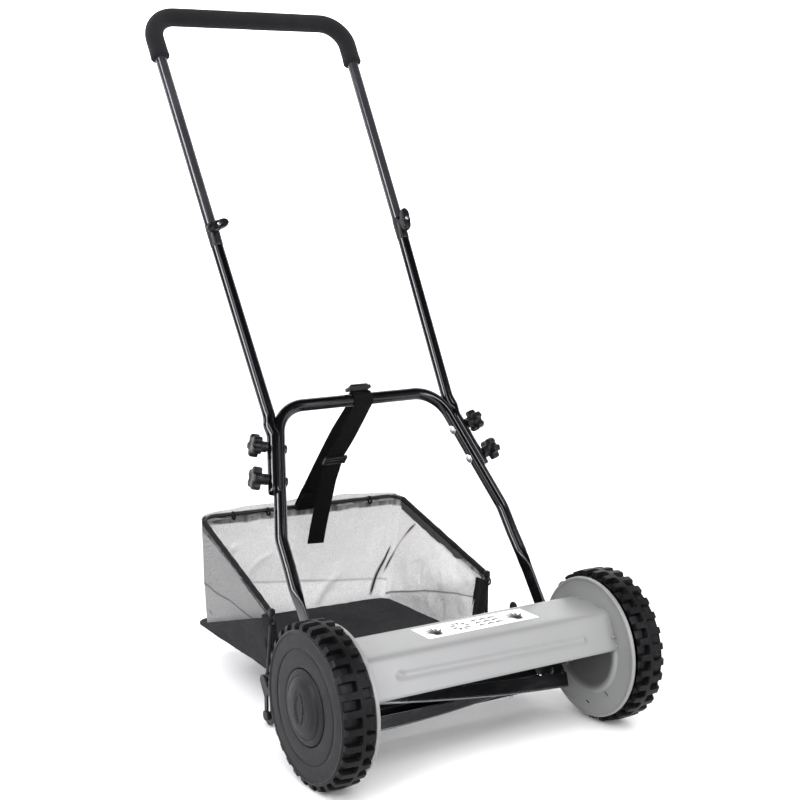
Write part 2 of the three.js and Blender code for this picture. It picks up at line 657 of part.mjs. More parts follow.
function makeBagFrame() {
  const eye = new THREE.TorusGeometry(6.8, WIRE_RADIUS, 6, 12).rotateY(Math.PI / 2);
  eye.translate(BAG_PEG.x, BAG_PEG.y, BAG_PEG.z);
  const foot = new THREE.Vector3(BAG_PEG.x, BAG_PEG.y, BAG_PEG.z + 6.8);
  const corners = [foot, BAG_FRONT, BAG_BACK, mirrored(BAG_BACK), mirrored(BAG_FRONT), mirrored(foot)];
  const wire = swept(new BentRoute(corners, [12, 22, 22, 12], 4), circle(WIRE_RADIUS), 4);
  add("bag_frame", join(wire, eye, mirroredSolid(eye)), blackPaint);
}

// The bag's walls between its floor and the wire, with the front and the top left open.
function bagWedge(inset, front, top) {
  const points = [];
  const under = FLOOR_Z + FLOOR_THICK + GAP - (inset ? 1 : 0);
  for (const side of [-1, 1]) {
    points.push(
      new THREE.Vector3(side * (168 - inset), front, under),
      new THREE.Vector3(side * (168 - inset), front, 46 + top - (226 - front) * 0.33),
      new THREE.Vector3(side * (157 - inset), 468 - inset, under),
      new THREE.Vector3(side * (160 - inset), 466 - inset, 40),
      new THREE.Vector3(side * (166 - inset), 449.5 - inset, 120 + top),
    );
  }
  return new ConvexGeometry(points);
}

function makeBag() {
  const shell = cut(bagWedge(0, FLOOR_FRONT_Y + 2, 0), bagWedge(BAG_WALL, FLOOR_FRONT_Y - 20, 14));
  add("bag_mesh", shell, meshFabric);
  const middle = (FLOOR_FRONT_Y + FLOOR_BACK_Y) / 2;
  const tray = new THREE.BoxGeometry(2 * FLOOR_HALF_WIDTH, FLOOR_BACK_Y - FLOOR_FRONT_Y, FLOOR_THICK);
  add("bag_floor", tray.translate(0, middle, FLOOR_Z + FLOOR_THICK / 2), floorFabric);
}

makeWheels();
makeSidePlates();
makeDeck();
makeReel();
makeBedknife();
makeRoller();
makeHoop();
makeMidTubes();
makeKnobs();
makeUpperHandle();
makeStrap();
makeBagFrame();
makeBag();

export default root;
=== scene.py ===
"""The look of a hand-pushed reel mower with a grass bag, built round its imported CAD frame.

Shapes are written in millimetres from the middle of the wheels' common axis: X along the axle,
-Y the way the mower is pushed, +Z up. add() turns them into metres in the frame's own place.
"""

import json
import math

import bmesh
import bpy
import numpy as np
from mathutils import Matrix, Vector
from mathutils import noise as perlin


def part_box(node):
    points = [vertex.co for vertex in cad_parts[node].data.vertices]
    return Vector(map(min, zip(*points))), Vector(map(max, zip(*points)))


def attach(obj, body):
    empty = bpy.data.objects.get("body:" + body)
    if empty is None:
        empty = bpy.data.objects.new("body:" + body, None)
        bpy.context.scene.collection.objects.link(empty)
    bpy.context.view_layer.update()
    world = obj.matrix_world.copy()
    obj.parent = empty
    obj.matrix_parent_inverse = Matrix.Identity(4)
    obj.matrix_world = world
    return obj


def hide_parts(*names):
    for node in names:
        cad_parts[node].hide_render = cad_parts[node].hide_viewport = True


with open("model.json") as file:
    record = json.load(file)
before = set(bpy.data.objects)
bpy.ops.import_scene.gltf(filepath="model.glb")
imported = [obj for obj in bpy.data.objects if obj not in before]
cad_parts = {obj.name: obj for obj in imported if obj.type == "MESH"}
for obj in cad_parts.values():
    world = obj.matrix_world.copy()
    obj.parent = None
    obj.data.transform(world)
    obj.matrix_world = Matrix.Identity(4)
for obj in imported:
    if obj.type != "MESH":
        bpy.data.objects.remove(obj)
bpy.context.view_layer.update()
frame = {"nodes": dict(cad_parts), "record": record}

scene = bpy.context.scene

# ------------------------------------------------------------------ places and sizes, in millimetres
wheel_low, wheel_high = (np.array(corner) * 1000 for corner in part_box("right_wheel"))
AXLE = np.array([0.0, (wheel_low[1] + wheel_high[1]) / 2, (wheel_low[2] + wheel_high[2]) / 2])
WHEEL_RADIUS = (wheel_high[2] - wheel_low[2]) / 2
REEL = np.array([0.0, 46.0, -22.0])
REEL_HALF_LENGTH = 174.0
REEL_TWIST = math.radians(64)
REEL_PHASE = math.radians(20)
BLADE_COUNT = 5
PLATE_SHIFT = 3.0
DECK_HALF_LENGTH = 193.7
HOOP_PIVOT = np.array([181.1, 72.9, 15.0])
HOOP_KNEE = np.array([178.5, 181.0, 161.5])
HOOP_TOP = np.array([129.4, 281.5, 318.5])
UPPER_FOOT = np.array([154.8, 411.0, 531.8])
UPPER_TOP = np.array([164.6, 614.7, 861.2])
LOWER_TUBE_RADIUS = 8.75
UPPER_TUBE_RADIUS = 8.5
UPPER_BENDS = (40.0, 40.0)
SPIGOT_RADIUS = 7.3
GRIP_RADIUS = 14.5
GRIP_LEG = 74.0
BOLT_HEIGHT = 268.0
HOLE_SPACING = 48.0
BRACKET_BOLT = np.array([0.0, 66.0, -50.0])
ROLLER = np.array([0.0, 205.0, 17.0 - WHEEL_RADIUS])
BRACKET_FACES = (186.3, 189.1)
BAG_PEG = np.array([181.0, 222.0, -43.5])
BAG_FRONT = np.array([177.0, 215.0, 51.0])
BAG_BACK = np.array([171.3, 452.0, 129.0])
FLOOR_Z = -40.0
WIRE_RADIUS = 2.5
SIDES = (("right", 1.0), ("left", -1.0))
X_AXIS = np.array([1.0, 0.0, 0.0])


def unit(v):
    v = np.asarray(v, float)
    return v / np.linalg.norm(v)


def smooth(t):
    t = np.clip(t, 0.0, 1.0)
    return t * t * (3 - 2 * t)


def polar(angle, radius=1.0):
    return np.array([radius * math.cos(angle), radius * math.sin(angle)])


def full_circle(count):
    return np.linspace(0, 2 * math.pi, count, endpoint=False)


def lumps(x, y, z):
    """Smooth noise from about -1 to 1 that is the same in each run."""
    return perlin.noise(Vector((x, y, z)))


def placed(name, data):
    made = bpy.data.objects.new(name, data)
    scene.collection.objects.link(made)
    return made


# ------------------------------------------------------------------ looks
class Look:
    """A procedural material built round one Principled shader, in object space, where 1 is a metre."""

    def __init__(self, name, colour, roughness, metallic=0.0, slot=None, **sockets):
        self.material = bpy.data.materials.new(name)
        self.material.use_nodes = True
        self.slot = slot
        self.tree = self.material.node_tree
        self.shader = self.tree.nodes["Principled BSDF"]
        self.shader.inputs["Base Color"].default_value = (*colour, 1)
        self.shader.inputs["Roughness"].default_value = roughness
        self.shader.inputs["Metallic"].default_value = metallic
        for socket, value in sockets.items():
            self.shader.inputs[socket.replace("_", " ")].default_value = value
        self.colour = colour
        self.roughness = roughness
        self.place = self.tree.nodes.new("ShaderNodeTexCoord").outputs["Object"]
        self.height = None

    def node(self, kind, inputs=(), **settings):
        made = self.tree.nodes.new("ShaderNode" + kind)
        for key, value in settings.items():
            setattr(made, key, value)
        for key, value in dict(inputs).items():
            if hasattr(value, "links"):
                self.tree.links.new(value, made.inputs[key])
            else:
                made.inputs[key].default_value = value
        return made

    def stretched(self, scale):
        return self.node("Mapping", {"Vector": self.place, "Scale": scale}).outputs["Vector"]

    def noise(self, scale, detail=3.0, stretch=None):
        place = self.stretched(stretch) if stretch else self.place
        inputs = {"Vector": place, "Scale": scale, "Detail": detail}
        return self.node("TexNoise", inputs).outputs["Fac"]

    def cells(self, scale, feature="F1"):
        inputs = {"Vector": self.place, "Scale": scale}
        return self.node("TexVoronoi", inputs, feature=feature).outputs["Distance"]

    def lines(self, scale, axis, distortion=0.0):
        inputs = {"Vector": self.place, "Scale": scale, "Distortion": distortion}
        return self.node("TexWave", inputs, bands_direction=axis).outputs["Fac"]

    def math(self, operation, a, b=0.0):
        return self.node("Math", {0: a, 1: b}, operation=operation).outputs[0]

    def ramp(self, value, low, high, start=0.0, end=1.0):
        inputs = {"Value": value, "From Min": start, "From Max": end, "To Min": low, "To Max": high}
        return self.node("MapRange", inputs).outputs["Result"]

    def tint(self, mask, other):
        """Turns the base colour towards another where the mask is 1."""
        current = self.shader.inputs["Base Color"]
        mix = self.node("Mix", data_type="RGBA")
        self.tree.links.new(mask, mix.inputs[0])
        mix.inputs[7].default_value = (*other, 1)
        if current.is_linked:
            self.tree.links.new(current.links[0].from_socket, mix.inputs[6])
        else:
            mix.inputs[6].default_value = current.default_value[:]
        self.tree.links.new(mix.outputs[2], current)
        return self

    def vary(self, mask, low, high):
        self.tree.links.new(self.ramp(mask, low, high), self.shader.inputs["Roughness"])
        return self

    def bump(self, height, distance, strength=1.0):
        inputs = {"Height": height, "Distance": distance, "Strength": strength}
        if self.height is not None:
            inputs["Normal"] = self.height
        self.height = self.node("Bump", inputs).outputs["Normal"]
        self.tree.links.new(self.height, self.shader.inputs["Normal"])
        return self

    def dust(self, other, scale=9.0, amount=0.35):
        """Faint, cloudy dirt and handling marks."""
        cloud = self.noise(scale, 6.0)
        return self.tint(self.ramp(cloud, 0.0, amount, 0.45, 0.75), other)


def gloss_black(name="gloss_black_paint", colour=(0.002, 0.002, 0.0027)):
    look = Look(name, colour, 0.16, slot="black_paint", Specular_IOR_Level=0.42)
    look.dust(tuple(2.3 * c for c in colour), 14.0, 0.5)
    look.vary(look.noise(60.0, 5.0), 0.1, 0.2)
    return look.bump(look.noise(420.0, 2.0), 0.00003)


def black_powder():
    look = Look("black_powder_coat", (0.005, 0.005, 0.0055), 0.42, slot="black_paint", Specular_IOR_Level=0.3)
    look.dust((0.012, 0.0115, 0.011), 20.0, 0.5)
    look.vary(look.noise(80.0, 5.0), 0.34, 0.52)
    return look.bump(look.noise(1500.0, 2.0), 0.00006)


def foam():
    look = Look("grip_foam", (0.0085, 0.0085, 0.01), 0.95, slot="foam", Specular_IOR_Level=0.1,
                Sheen_Weight=0.05, Sheen_Roughness=0.6)
    look.tint(look.ramp(look.cells(1400.0), 0.6, 0.0, 0.0, 0.5), (0.005, 0.005, 0.0055))
    look.dust((0.018, 0.0175, 0.02), 16.0, 0.4)
    look.bump(look.cells(900.0), 0.0005)
    return look.bump(look.noise(120.0, 4.0), 0.0005)


def knob_plastic():
    look = Look("knob_plastic", (0.004, 0.004, 0.0046), 0.36, slot="knob_plastic", Specular_IOR_Level=0.24)
    look.dust((0.009, 0.009, 0.0105), 40.0, 0.5)
    look.vary(look.noise(150.0, 4.0), 0.3, 0.46)
    return look.bump(look.noise(1800.0, 2.0), 0.00005)


def wheel_plastic(name, colour, roughness):
    look = Look(name, colour, roughness, slot="wheel_plastic", Specular_IOR_Level=0.14)
    look.dust(tuple(1.35 * c for c in colour), 18.0, 0.4)
    look.vary(look.noise(70.0, 5.0), roughness - 0.07, roughness + 0.1)
    look.bump(look.noise(2200.0, 2.0), 0.00008)
    return look.bump(look.noise(90.0, 3.0), 0.0002)


def silver_paint(name="silver_paint"):
    look = Look(name, (0.228, 0.23, 0.228), 0.42, 0.12, slot="silver_paint", Coat_Weight=0.08,
                Coat_Roughness=0.2)
    flakes = look.cells(2600.0)
    look.tint(look.ramp(flakes, 0.16, 0.0, 0.0, 0.6), (0.34, 0.343, 0.34))
    look.dust((0.2, 0.201, 0.2), 7.0, 0.35)
    look.vary(look.noise(30.0, 6.0), 0.38, 0.5)
    return look.bump(look.noise(500.0, 2.0), 0.00003)


def zinc():
    look = Look("zinc_plate", (0.56, 0.57, 0.59), 0.3, 0.95, slot="zinc_steel")
    look.tint(look.ramp(look.cells(300.0), 0.0, 0.3, 0.2, 0.8), (0.42, 0.42, 0.4))
    look.vary(look.noise(200.0, 5.0), 0.22, 0.42)
    return look.bump(look.noise(900.0, 2.0), 0.00004)


def blade_steel():
    look = Look("blade_steel", (0.025, 0.026, 0.029), 0.3, 0.8, slot="blade_steel")
    look.tint(look.ramp(look.noise(25.0, 6.0, (1.0, 6.0, 6.0)), 0.0, 0.5, 0.45, 0.8), (0.07, 0.07, 0.072))
    look.vary(look.noise(120.0, 5.0, (1.0, 10.0, 10.0)), 0.2, 0.42)
    return look.bump(look.noise(400.0, 3.0, (0.3, 5.0, 5.0)), 0.00005)


def ground_edge():
    look = Look("ground_steel_edge", (0.2, 0.205, 0.215), 0.26, 0.95, slot="blade_steel")
    scratches = look.noise(1300.0, 4.0, (6.0, 0.2, 0.2))
    look.tint(look.ramp(scratches, 0.0, 0.35, 0.4, 0.7), (0.2, 0.2, 0.21))
    look.vary(scratches, 0.15, 0.36)
    return look.bump(scratches, 0.00005)


def webbing():
    look = Look("strap_webbing", (0.003, 0.003, 0.0033), 0.9, slot="webbing", Specular_IOR_Level=0.05,
                Sheen_Weight=0.02)
    ribs = look.lines(650.0, "X")
    picks = look.math("MULTIPLY", look.lines(420.0, "Z"), look.lines(420.0, "Y"))
    look.tint(look.ramp(ribs, 0.45, 0.0), (0.008, 0.008, 0.009))
    look.bump(ribs, 0.00025)
    return look.bump(picks, 0.0002)


def floor_cloth():
    look = Look("bag_floor_cloth", (0.018, 0.018, 0.02), 0.9, slot="floor_fabric", Specular_IOR_Level=0.06,
                Sheen_Weight=0.02)
    weave = look.math("MULTIPLY", look.lines(330.0, "X", 0.6), look.lines(330.0, "Y", 0.6))
    look.tint(look.ramp(look.noise(380.0, 5.0, (0.35, 2.5, 2.5)), 0.0, 0.8, 0.4, 0.75), (0.042, 0.042, 0.046))
    look.dust((0.0045, 0.0045, 0.005), 9.0, 0.5)
    look.bump(weave, 0.0003)
    return look.bump(look.noise(22.0, 4.0), 0.004)


def binding_cloth():
    look = Look("bag_binding", (0.005, 0.005, 0.0055), 0.9, slot="floor_fabric", Specular_IOR_Level=0.08,
                Sheen_Weight=0.04)
    look.tint(look.ramp(look.noise(500.0, 4.0), 0.0, 0.7, 0.45, 0.75), (0.02, 0.02, 0.022))
    look.bump(look.math("MULTIPLY", look.lines(450.0, "DIAGONAL"), look.noise(300.0, 2.0)), 0.0004)
    return look.bump(look.noise(60.0, 4.0), 0.0015)


def mesh_cloth(name, colour, shade, thin):
    """Fine knitted mesh. Its shade attribute darkens hems, where cloth lies doubled, and paints shade into
    creases.
    """
    look = Look(name, colour, 0.8, slot="mesh_fabric", Specular_IOR_Level=0.1)
    holes = look.cells(700.0)
    threads = look.math("MULTIPLY", look.lines(520.0, "X", 0.4), look.lines(520.0, "Z", 0.4))
    look.tint(look.ramp(holes, 0.05, 0.0, 0.0, 0.4), shade)
    look.dust(tuple(0.95 * c for c in colour), 11.0, 0.5)
    # The shade attribute: doubled cloth at hems and seams, and painted shade along creases.
    doubled = look.node("Attribute", attribute_name="shade").outputs["Fac"]
    look.tint(doubled, shade)
    look.bump(threads, 0.0003)
    look.bump(look.noise(28.0, 5.0), 0.006)
    glow = look.node("BsdfTranslucent")
    look.tree.links.new(look.shader.inputs["Base Color"].links[0].from_socket, glow.inputs["Color"])
    lit = look.node("MixShader", {"Fac": 0.4})
    look.tree.links.new(look.shader.outputs[0], lit.inputs[1])
    look.tree.links.new(glow.outputs[0], lit.inputs[2])
    see_through = look.node("BsdfTransparent")
    single = look.math("SUBTRACT", 1.0, doubled)
    open_share = look.math("MULTIPLY", look.ramp(holes, thin, 0.0, 0.2, 0.5), single)
    mix = look.node("MixShader", {"Fac": open_share})
    look.tree.links.new(lit.outputs[0], mix.inputs[1])
    look.tree.links.new(see_through.outputs[0], mix.inputs[2])
    look.tree.links.new(mix.outputs[0], look.tree.nodes["Material Output"].inputs["Surface"])
    return look


def label_film():
    look = Look("label_film", (0.8, 0.8, 0.79), 0.35, slot="label", Coat_Weight=0.3)
    look.dust((0.7, 0.7, 0.69), 30.0, 0.3)
    return look.bump(look.noise(900.0, 2.0), 0.00003)


def label_ink():
    look = Look("label_ink", (0.03, 0.03, 0.032), 0.5, slot="label")
    look.tint(look.ramp(look.noise(700.0, 3.0), 0.0, 0.4, 0.4, 0.7), (0.07, 0.07, 0.072))
    return look.bump(look.noise(900.0, 2.0), 0.00003)


GLOSS_BLACK = gloss_black()
# A lighter copy of the gloss black for the upper tubes: painted light for the broad reflection they show.
UPPER_LIT_BLACK = gloss_black("upper_tube_paint_lit", (0.023, 0.023, 0.026))
POWDER = black_powder()
FOAM = foam()
KNOB = knob_plastic()
WHEEL_FACE = wheel_plastic("wheel_face_plastic", (0.0085, 0.0085, 0.0095), 0.44)
# The tread's look: the face's plastic made darker, as painted shade. The ring gear and roller use it too.
WHEEL_TREAD = wheel_plastic("wheel_tread_plastic", (0.0032, 0.0032, 0.0036), 0.48)
SILVER = silver_paint()
PLATE_PAINT = silver_paint("side_plate_paint")
# Painted shade: the plate's shade attribute darkens the pressed dish round the axle, which the deck shades.
PLATE_PAINT.tint(PLATE_PAINT.node("Attribute", attribute_name="shade").outputs["Fac"], (0.03, 0.03, 0.03))
ZINC = zinc()
BLADE = blade_steel()
EDGE = ground_edge()
WEBBING = webbing()
FLOOR_CLOTH = floor_cloth()
BINDING = binding_cloth()
MESH_PALE = mesh_cloth("bag_mesh_pale", (0.93, 0.922, 0.922), (0.05, 0.05, 0.051), 0.4)
# A darker copy of the same mesh cloth, as painted shade, for the left wall and the arms' hems.
MESH_SHADED = mesh_cloth("bag_mesh_side", (0.43, 0.428, 0.43), (0.035, 0.035, 0.036), 0.45)
LABEL = label_film()
INK = label_ink()

SLOT_LOOKS = {
    "silver_paint": SILVER, "black_paint": POWDER, "wheel_plastic": WHEEL_TREAD, "knob_plastic": KNOB,
    "zinc_steel": ZINC, "blade_steel": BLADE, "foam": FOAM, "webbing": WEBBING, "mesh_fabric": MESH_PALE,
    "floor_fabric": FLOOR_CLOTH, "label": LABEL,
}


def dress_cad_nodes():
    slots = {part["node"]: part["material_slot"] for part in frame["record"]["subparts"]}
    for name, node in frame["nodes"].items():
        node.data.materials.clear()
        node.data.materials.append(SLOT_LOOKS[slots[name]].material)


# ------------------------------------------------------------------ mesh helpers
def racked(points):
    """The bag hangs from one strap and sits a little lower at its right back corner."""
    share = np.clip((points[:, 1] - BAG_PEG[1]) / (BAG_BACK[1] - BAG_PEG[1]), 0, 1.2)
    return points - np.outer(0.022 * points[:, 0] * share, [0, 0, 1])


def new_mesh(name, points, faces, weld=True, recalculate=True):
    """A mesh in metres, in the frame's place, with its faces pointing out."""
    mesh = bpy.data.meshes.new(name)
    mesh.from_pydata(((points + AXLE) / 1000).tolist(), [], faces)
    if recalculate:
        shell = bmesh.new()
        shell.from_mesh(mesh)
        if weld:
            bmesh.ops.remove_doubles(shell, verts=shell.verts, dist=1e-6)
        bmesh.ops.recalc_face_normals(shell, faces=shell.faces)
        shell.to_mesh(mesh)
        shell.free()
    return mesh


def add(name, points, faces, look, body, stands_for=(), sharp=40.0, shade=None, recalculate=True):
    """A new piece from points in millimetres from the axle's middle."""
    points = np.asarray(points, float)
    if body == "bag":
        points = racked(points)
    mesh = new_mesh(name, points, faces, recalculate=recalculate)
    if shade is not None:
        attribute = mesh.attributes.new("shade", "FLOAT", "POINT")
        attribute.data.foreach_set("value", np.asarray(shade, float))
    mesh.materials.append(look.material)
    mesh.shade_smooth()
    mesh.set_sharp_from_angle(angle=math.radians(sharp))
    piece = placed(name, mesh)
    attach(piece, body)
    if stands_for:
        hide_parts(*stands_for)
    return piece


def add_pair(name, part, look, body="chassis", node=None, sharp=40.0, shade=None):
    """The same piece on the right and, mirrored, on the left. SIDE in a name becomes right or left."""
    pair = []
    for side, mirror in SIDES:
        nodes = [f"{side}_{node}"] if node else ()
        rides_on = body.replace("SIDE", side)
        pair.append(add(f"{side}_{name}", *flipped(part, mirror), look, rides_on, nodes, sharp, shade))
    return pair


def grid_faces(rows, columns, close_rows=False, close_columns=False, start=0):
    faces = []
    for i in range(rows if close_rows else rows - 1):
        for j in range(columns if close_columns else columns - 1):
            a = i * columns + j
            b = i * columns + (j + 1) % columns
            c = ((i + 1) % rows) * columns + (j + 1) % columns
            d = ((i + 1) % rows) * columns + j
            faces.append((start + a, start + b, start + c, start + d))
    return faces


def grid_points(rows, columns, place):
    """place(u, v) over a grid: u runs from 0 to 1 along a row and v from row to row."""
    return np.array([place(j / (columns - 1), i / (rows - 1)) for i in range(rows) for j in range(columns)])


def loft(rings, caps=True, closed=False):
    """Points and faces through a list of rings, each with the same number of points."""
    rings = np.asarray(rings, float)
    count, size = rings.shape[:2]
    faces = grid_faces(count, size, closed, True)
    if caps and not closed:
        faces.append(tuple(range(size)))
        faces.append(tuple(range((count - 1) * size, count * size)))
    return rings.reshape(-1, 3), faces


def doubled(outer, inner, rows, columns):
    """A thin sheet from its two skins, each a grid of points, joined all round their edge."""
    size = rows * columns
    faces = grid_faces(rows, columns)
    faces += [tuple(size + i for i in reversed(face)) for face in faces]
    rim = list(range(columns)) + [i * columns + columns - 1 for i in range(1, rows)]
    rim += [(rows - 1) * columns + j for j in range(columns - 2, -1, -1)]
    rim += [i * columns for i in range(rows - 2, 0, -1)]
    faces += [(b, a, size + a, size + b) for a, b in zip(rim, rim[1:] + rim[:1])]
    return np.concatenate([outer.reshape(-1, 3), inner.reshape(-1, 3)]), faces


def merged(*parts):
    """Joins several (points, faces) into one."""
    points = []
    faces = []
    for part_points, part_faces in parts:
        start = sum(len(p) for p in points)
        points.append(np.asarray(part_points, float))
        faces += [tuple(start + i for i in face) for face in part_faces]
    return np.concatenate(points), faces


def flipped(part, mirror):
    points, faces = part
    return np.asarray(points) * np.array([mirror, 1.0, 1.0]), faces


def moved(part, matrix):
    """matrix is 3 by 4: its columns are X, Y, Z and the place."""
    points, faces = part
    return np.asarray(points) @ matrix[:, :3].T + matrix[:, 3], faces


def turned(profile, segments=48, centre=(0.0, 0.0, 0.0)):
    """A closed solid about X from [radius, x] points. A radius of 0 ends on the axis."""
    rings = []
    for angle in full_circle(segments):
        rings.append([(x, *polar(angle, max(r, 0.001))) for r, x in profile])
    rings = np.asarray(rings)
    open_profile = profile[0][0] == 0 and profile[-1][0] == 0
    faces = grid_faces(segments, len(profile), True, not open_profile)
    return rings.reshape(-1, 3) + np.asarray(centre, float), faces


def rounded(profile, radius=0.6, steps=3):
    """Rounds the corners of a closed or axis-ended [radius, x] profile."""
    on_axis = profile[0][0] == 0 and profile[-1][0] == 0
    result = []
    count = len(profile)
    for i, corner in enumerate(profile):
        if on_axis and i in (0, count - 1):
            result.append(tuple(corner))
            continue
        corner = np.asarray(corner, float)
        before = np.asarray(profile[i - 1], float) - corner
        after = np.asarray(profile[(i + 1) % count], float) - corner
        reach = min(radius, 0.45 * np.linalg.norm(before), 0.45 * np.linalg.norm(after))
        start = corner + unit(before) * reach
        end = corner + unit(after) * reach
        for k in range(steps + 1):
            t = k / steps
            result.append(tuple((1 - t) ** 2 * start + 2 * t * (1 - t) * corner + t * t * end))
    return result


def bent_route(corners, radii, arc_steps=14, straight_step=30.0):
    """A dense polyline with rounded corners."""
    corners = [np.asarray(c, float) for c in corners]
    stops = [corners[0]]
    for before, corner, after, radius in zip(corners, corners[1:], corners[2:], radii):
        back = unit(before - corner)
        ahead = unit(after - corner)
        half = math.acos(np.clip(back @ ahead, -1, 1)) / 2
        centre = corner + unit(back + ahead) * radius / math.sin(half)
        arm = corner + back * radius / math.tan(half) - centre
        axis = unit(np.cross(back, ahead))
        for k in range(arc_steps + 1):
            angle = -(math.pi - 2 * half) * k / arc_steps
            turned_arm = (arm * math.cos(angle) + np.cross(axis, arm) * math.sin(angle)
                          + axis * (axis @ arm) * (1 - math.cos(angle)))
            stops.append(centre + turned_arm)
    stops.append(corners[-1])
    route = [stops[0]]
    for start, end in zip(stops, stops[1:]):
        pieces = max(1, int(np.linalg.norm(end - start) / straight_step))
        route += [start + (end - start) * k / pieces for k in range(1, pieces + 1)]
    return np.array(route)


def tangents(route):
    along = np.gradient(route, axis=0)
    return along / np.linalg.norm(along, axis=1)[:, None]


def lengths(route):
    return np.concatenate([[0], np.cumsum(np.linalg.norm(np.diff(route, axis=0), axis=1))])


def at_length(values, places, s):
    """The values along a route, such as its points, at length s or at each of several lengths."""
    return np.stack([np.interp(s, places, column) for column in values.T], axis=-1)


def tube(route, radius, side, segments=32, ends=0.8):
    """A round rod with slightly rounded ends. side is a direction the route never runs along."""
    size = radius if callable(radius) else (lambda s: radius)
    places = lengths(route)
    total = places[-1]

    def section(s):
        edge = min(s, total - s)
        roll = 0 if edge >= ends else ends - math.sqrt(max(ends**2 - (ends - edge) ** 2, 0))
        return size(s) - roll, size(s) - roll

    steps = ends * np.array([0.15, 0.5, 1.0])
    head = at_length(route, places, steps)
    tail = at_length(route, places, total - steps[::-1])
    return swept(np.concatenate([route[:1], head, route[1:-1], tail, route[-1:]]), section, side, segments)


def swept(route, section, side, segments=32):
    """section(s) gives the half sizes across (along side) and through at length s."""
    along = tangents(route)
    places = lengths(route)
    turns = full_circle(segments)
    rings = []
    for point, ahead, s in zip(route, along, places):
        across = unit(side - ahead * (ahead @ side))
        through = np.cross(ahead, across)
        a, b = section(s)
        flat = 1 - 0.45 * float(smooth(abs(a - b) / 6))
        c = np.sign(np.cos(turns)) * np.abs(np.cos(turns)) ** flat
        d = np.sign(np.sin(turns)) * np.abs(np.sin(turns)) ** flat
        rings.append(point + np.outer(a * c, across) + np.outer(b * d, through))
    return loft(rings)


def slab(outline, low, high, bevel=0.5):
    """A plate along X from a convex or star-shaped outline of [y, z] points, with a small bevel."""
    outline = np.asarray(outline, float)
    middle = outline.mean(axis=0)
    reach = np.linalg.norm(outline - middle, axis=1)[:, None]
    inner = outline - (outline - middle) / reach * bevel
    sections = ((low, inner), (low + bevel, outline), (high - bevel, outline), (high, inner))
    return loft([[(x, *p) for p in section] for x, section in sections])


def prism(outline, xs):
    """Straight walls along X from an outline of [y, z] points."""
    return loft([[(x, *p) for p in outline] for x in xs])


def strip_outline(start, end, radius, steps=12, end_radius=None):
    """The outline of a flat bar with round ends, as [y, z] points."""
    start = np.asarray(start, float)
    end = np.asarray(end, float)
    along = math.atan2(*(end - start)[::-1])
    points = []
    for centre, turn, size in ((start, math.pi / 2, radius), (end, -math.pi / 2, end_radius or radius)):
        for k in range(steps + 1):
            angle = along + turn + math.pi * k / steps
            points.append(centre + polar(angle, size))
    return points


def box_part(centre, size, bevel=0.5, axes=None):
    """A small box with bevelled edges."""
    half = np.asarray(size, float) / 2
    rings = []
    for z, inset in ((-half[2], bevel), (-half[2] + bevel, 0), (half[2] - bevel, 0), (half[2], bevel)):
        x = half[0] - inset
        y = half[1] - inset
        b = min(bevel, x / 2, y / 2)
        ring = [(x - b, -y), (x, -y + b), (x, y - b), (x - b, y), (-x + b, y), (-x, y - b), (-x, -y + b),
                (-x + b, -y)]
        rings.append([(px, py, z) for px, py in ring])
    points, faces = loft(rings)
    if axes is not None:
        points = points @ np.asarray(axes)
    return points + np.asarray(centre, float), faces


# ------------------------------------------------------------------ wheels
PITCHES = 30
POCKET_DEPTH = 8.0


def pocket(theta_fraction, x):
    """How deep into a tread pocket a place is, from 0 to 1. The two rows are half a pitch apart."""
    pitch = 2 * math.pi * WHEEL_RADIUS / PITCHES
    depth = 0.0
    for centre_x, half_x, shift in ((232.2, 10.4, 0.5), (206.0, 10.4, 0.0)):
        along = abs((theta_fraction - shift + 0.5) % 1.0 - 0.5) * pitch
        if (x < centre_x) == (shift == 0.0):
            across = 0.0
        else:
            across = abs(x - centre_x)
        corner = 2.8
        u = along - pitch * 0.285 + corner
        v = across - half_x + corner
        outside = math.hypot(max(u, 0), max(v, 0)) + min(max(u, v), 0) - corner
        depth = max(depth, float(smooth((0.35 - outside) / 0.8)))
    return depth


TREAD_PROFILE = [202.5, 203.2, 205.0, 208.5, 212.0, 214.0, 215.0, 215.8, 216.6, 217.6, 219.2, 220.6, 221.5,
                 222.3, 223.3, 225.0, 228.5, 232.0, 235.0, 237.2, 238.4]
# The shoulder, with how much of a pocket's depth reaches it, and then the face: [radius, x].
SHOULDER = [(102.8, 239.6, 0.95), (101.2, 240.9, 0.85), (99.0, 241.9, 0.62), (97.2, 242.3, 0.3),
            (95.8, 242.5, 0.05)]
FACE_PROFILE = [
    (94.9, 242.5), (94.4, 242.8), (93.9, 243.5), (93.2, 244.0), (92.4, 244.1), (91.6, 243.9), (91.0, 243.3),
    (90.4, 243.0), (89.0, 243.1), (84.0, 243.4), (78.0, 243.6), (73.6, 243.6), (72.7, 243.4), (72.1, 242.6),
    (71.3, 242.3), (70.6, 242.7), (70.0, 243.2), (68.6, 243.4), (60.0, 243.4), (52.0, 243.4), (49.6, 243.3),
    (48.8, 242.8), (48.3, 241.6), (47.9, 235.0), (6.3, 235.0),
]
BACK_PROFILE = [
    (6.3, 197.0), (12.0, 197.0), (12.5, 197.5), (12.5, 232.0), (93.5, 232.0), (93.5, 203.1), (94.0, 202.5),
]


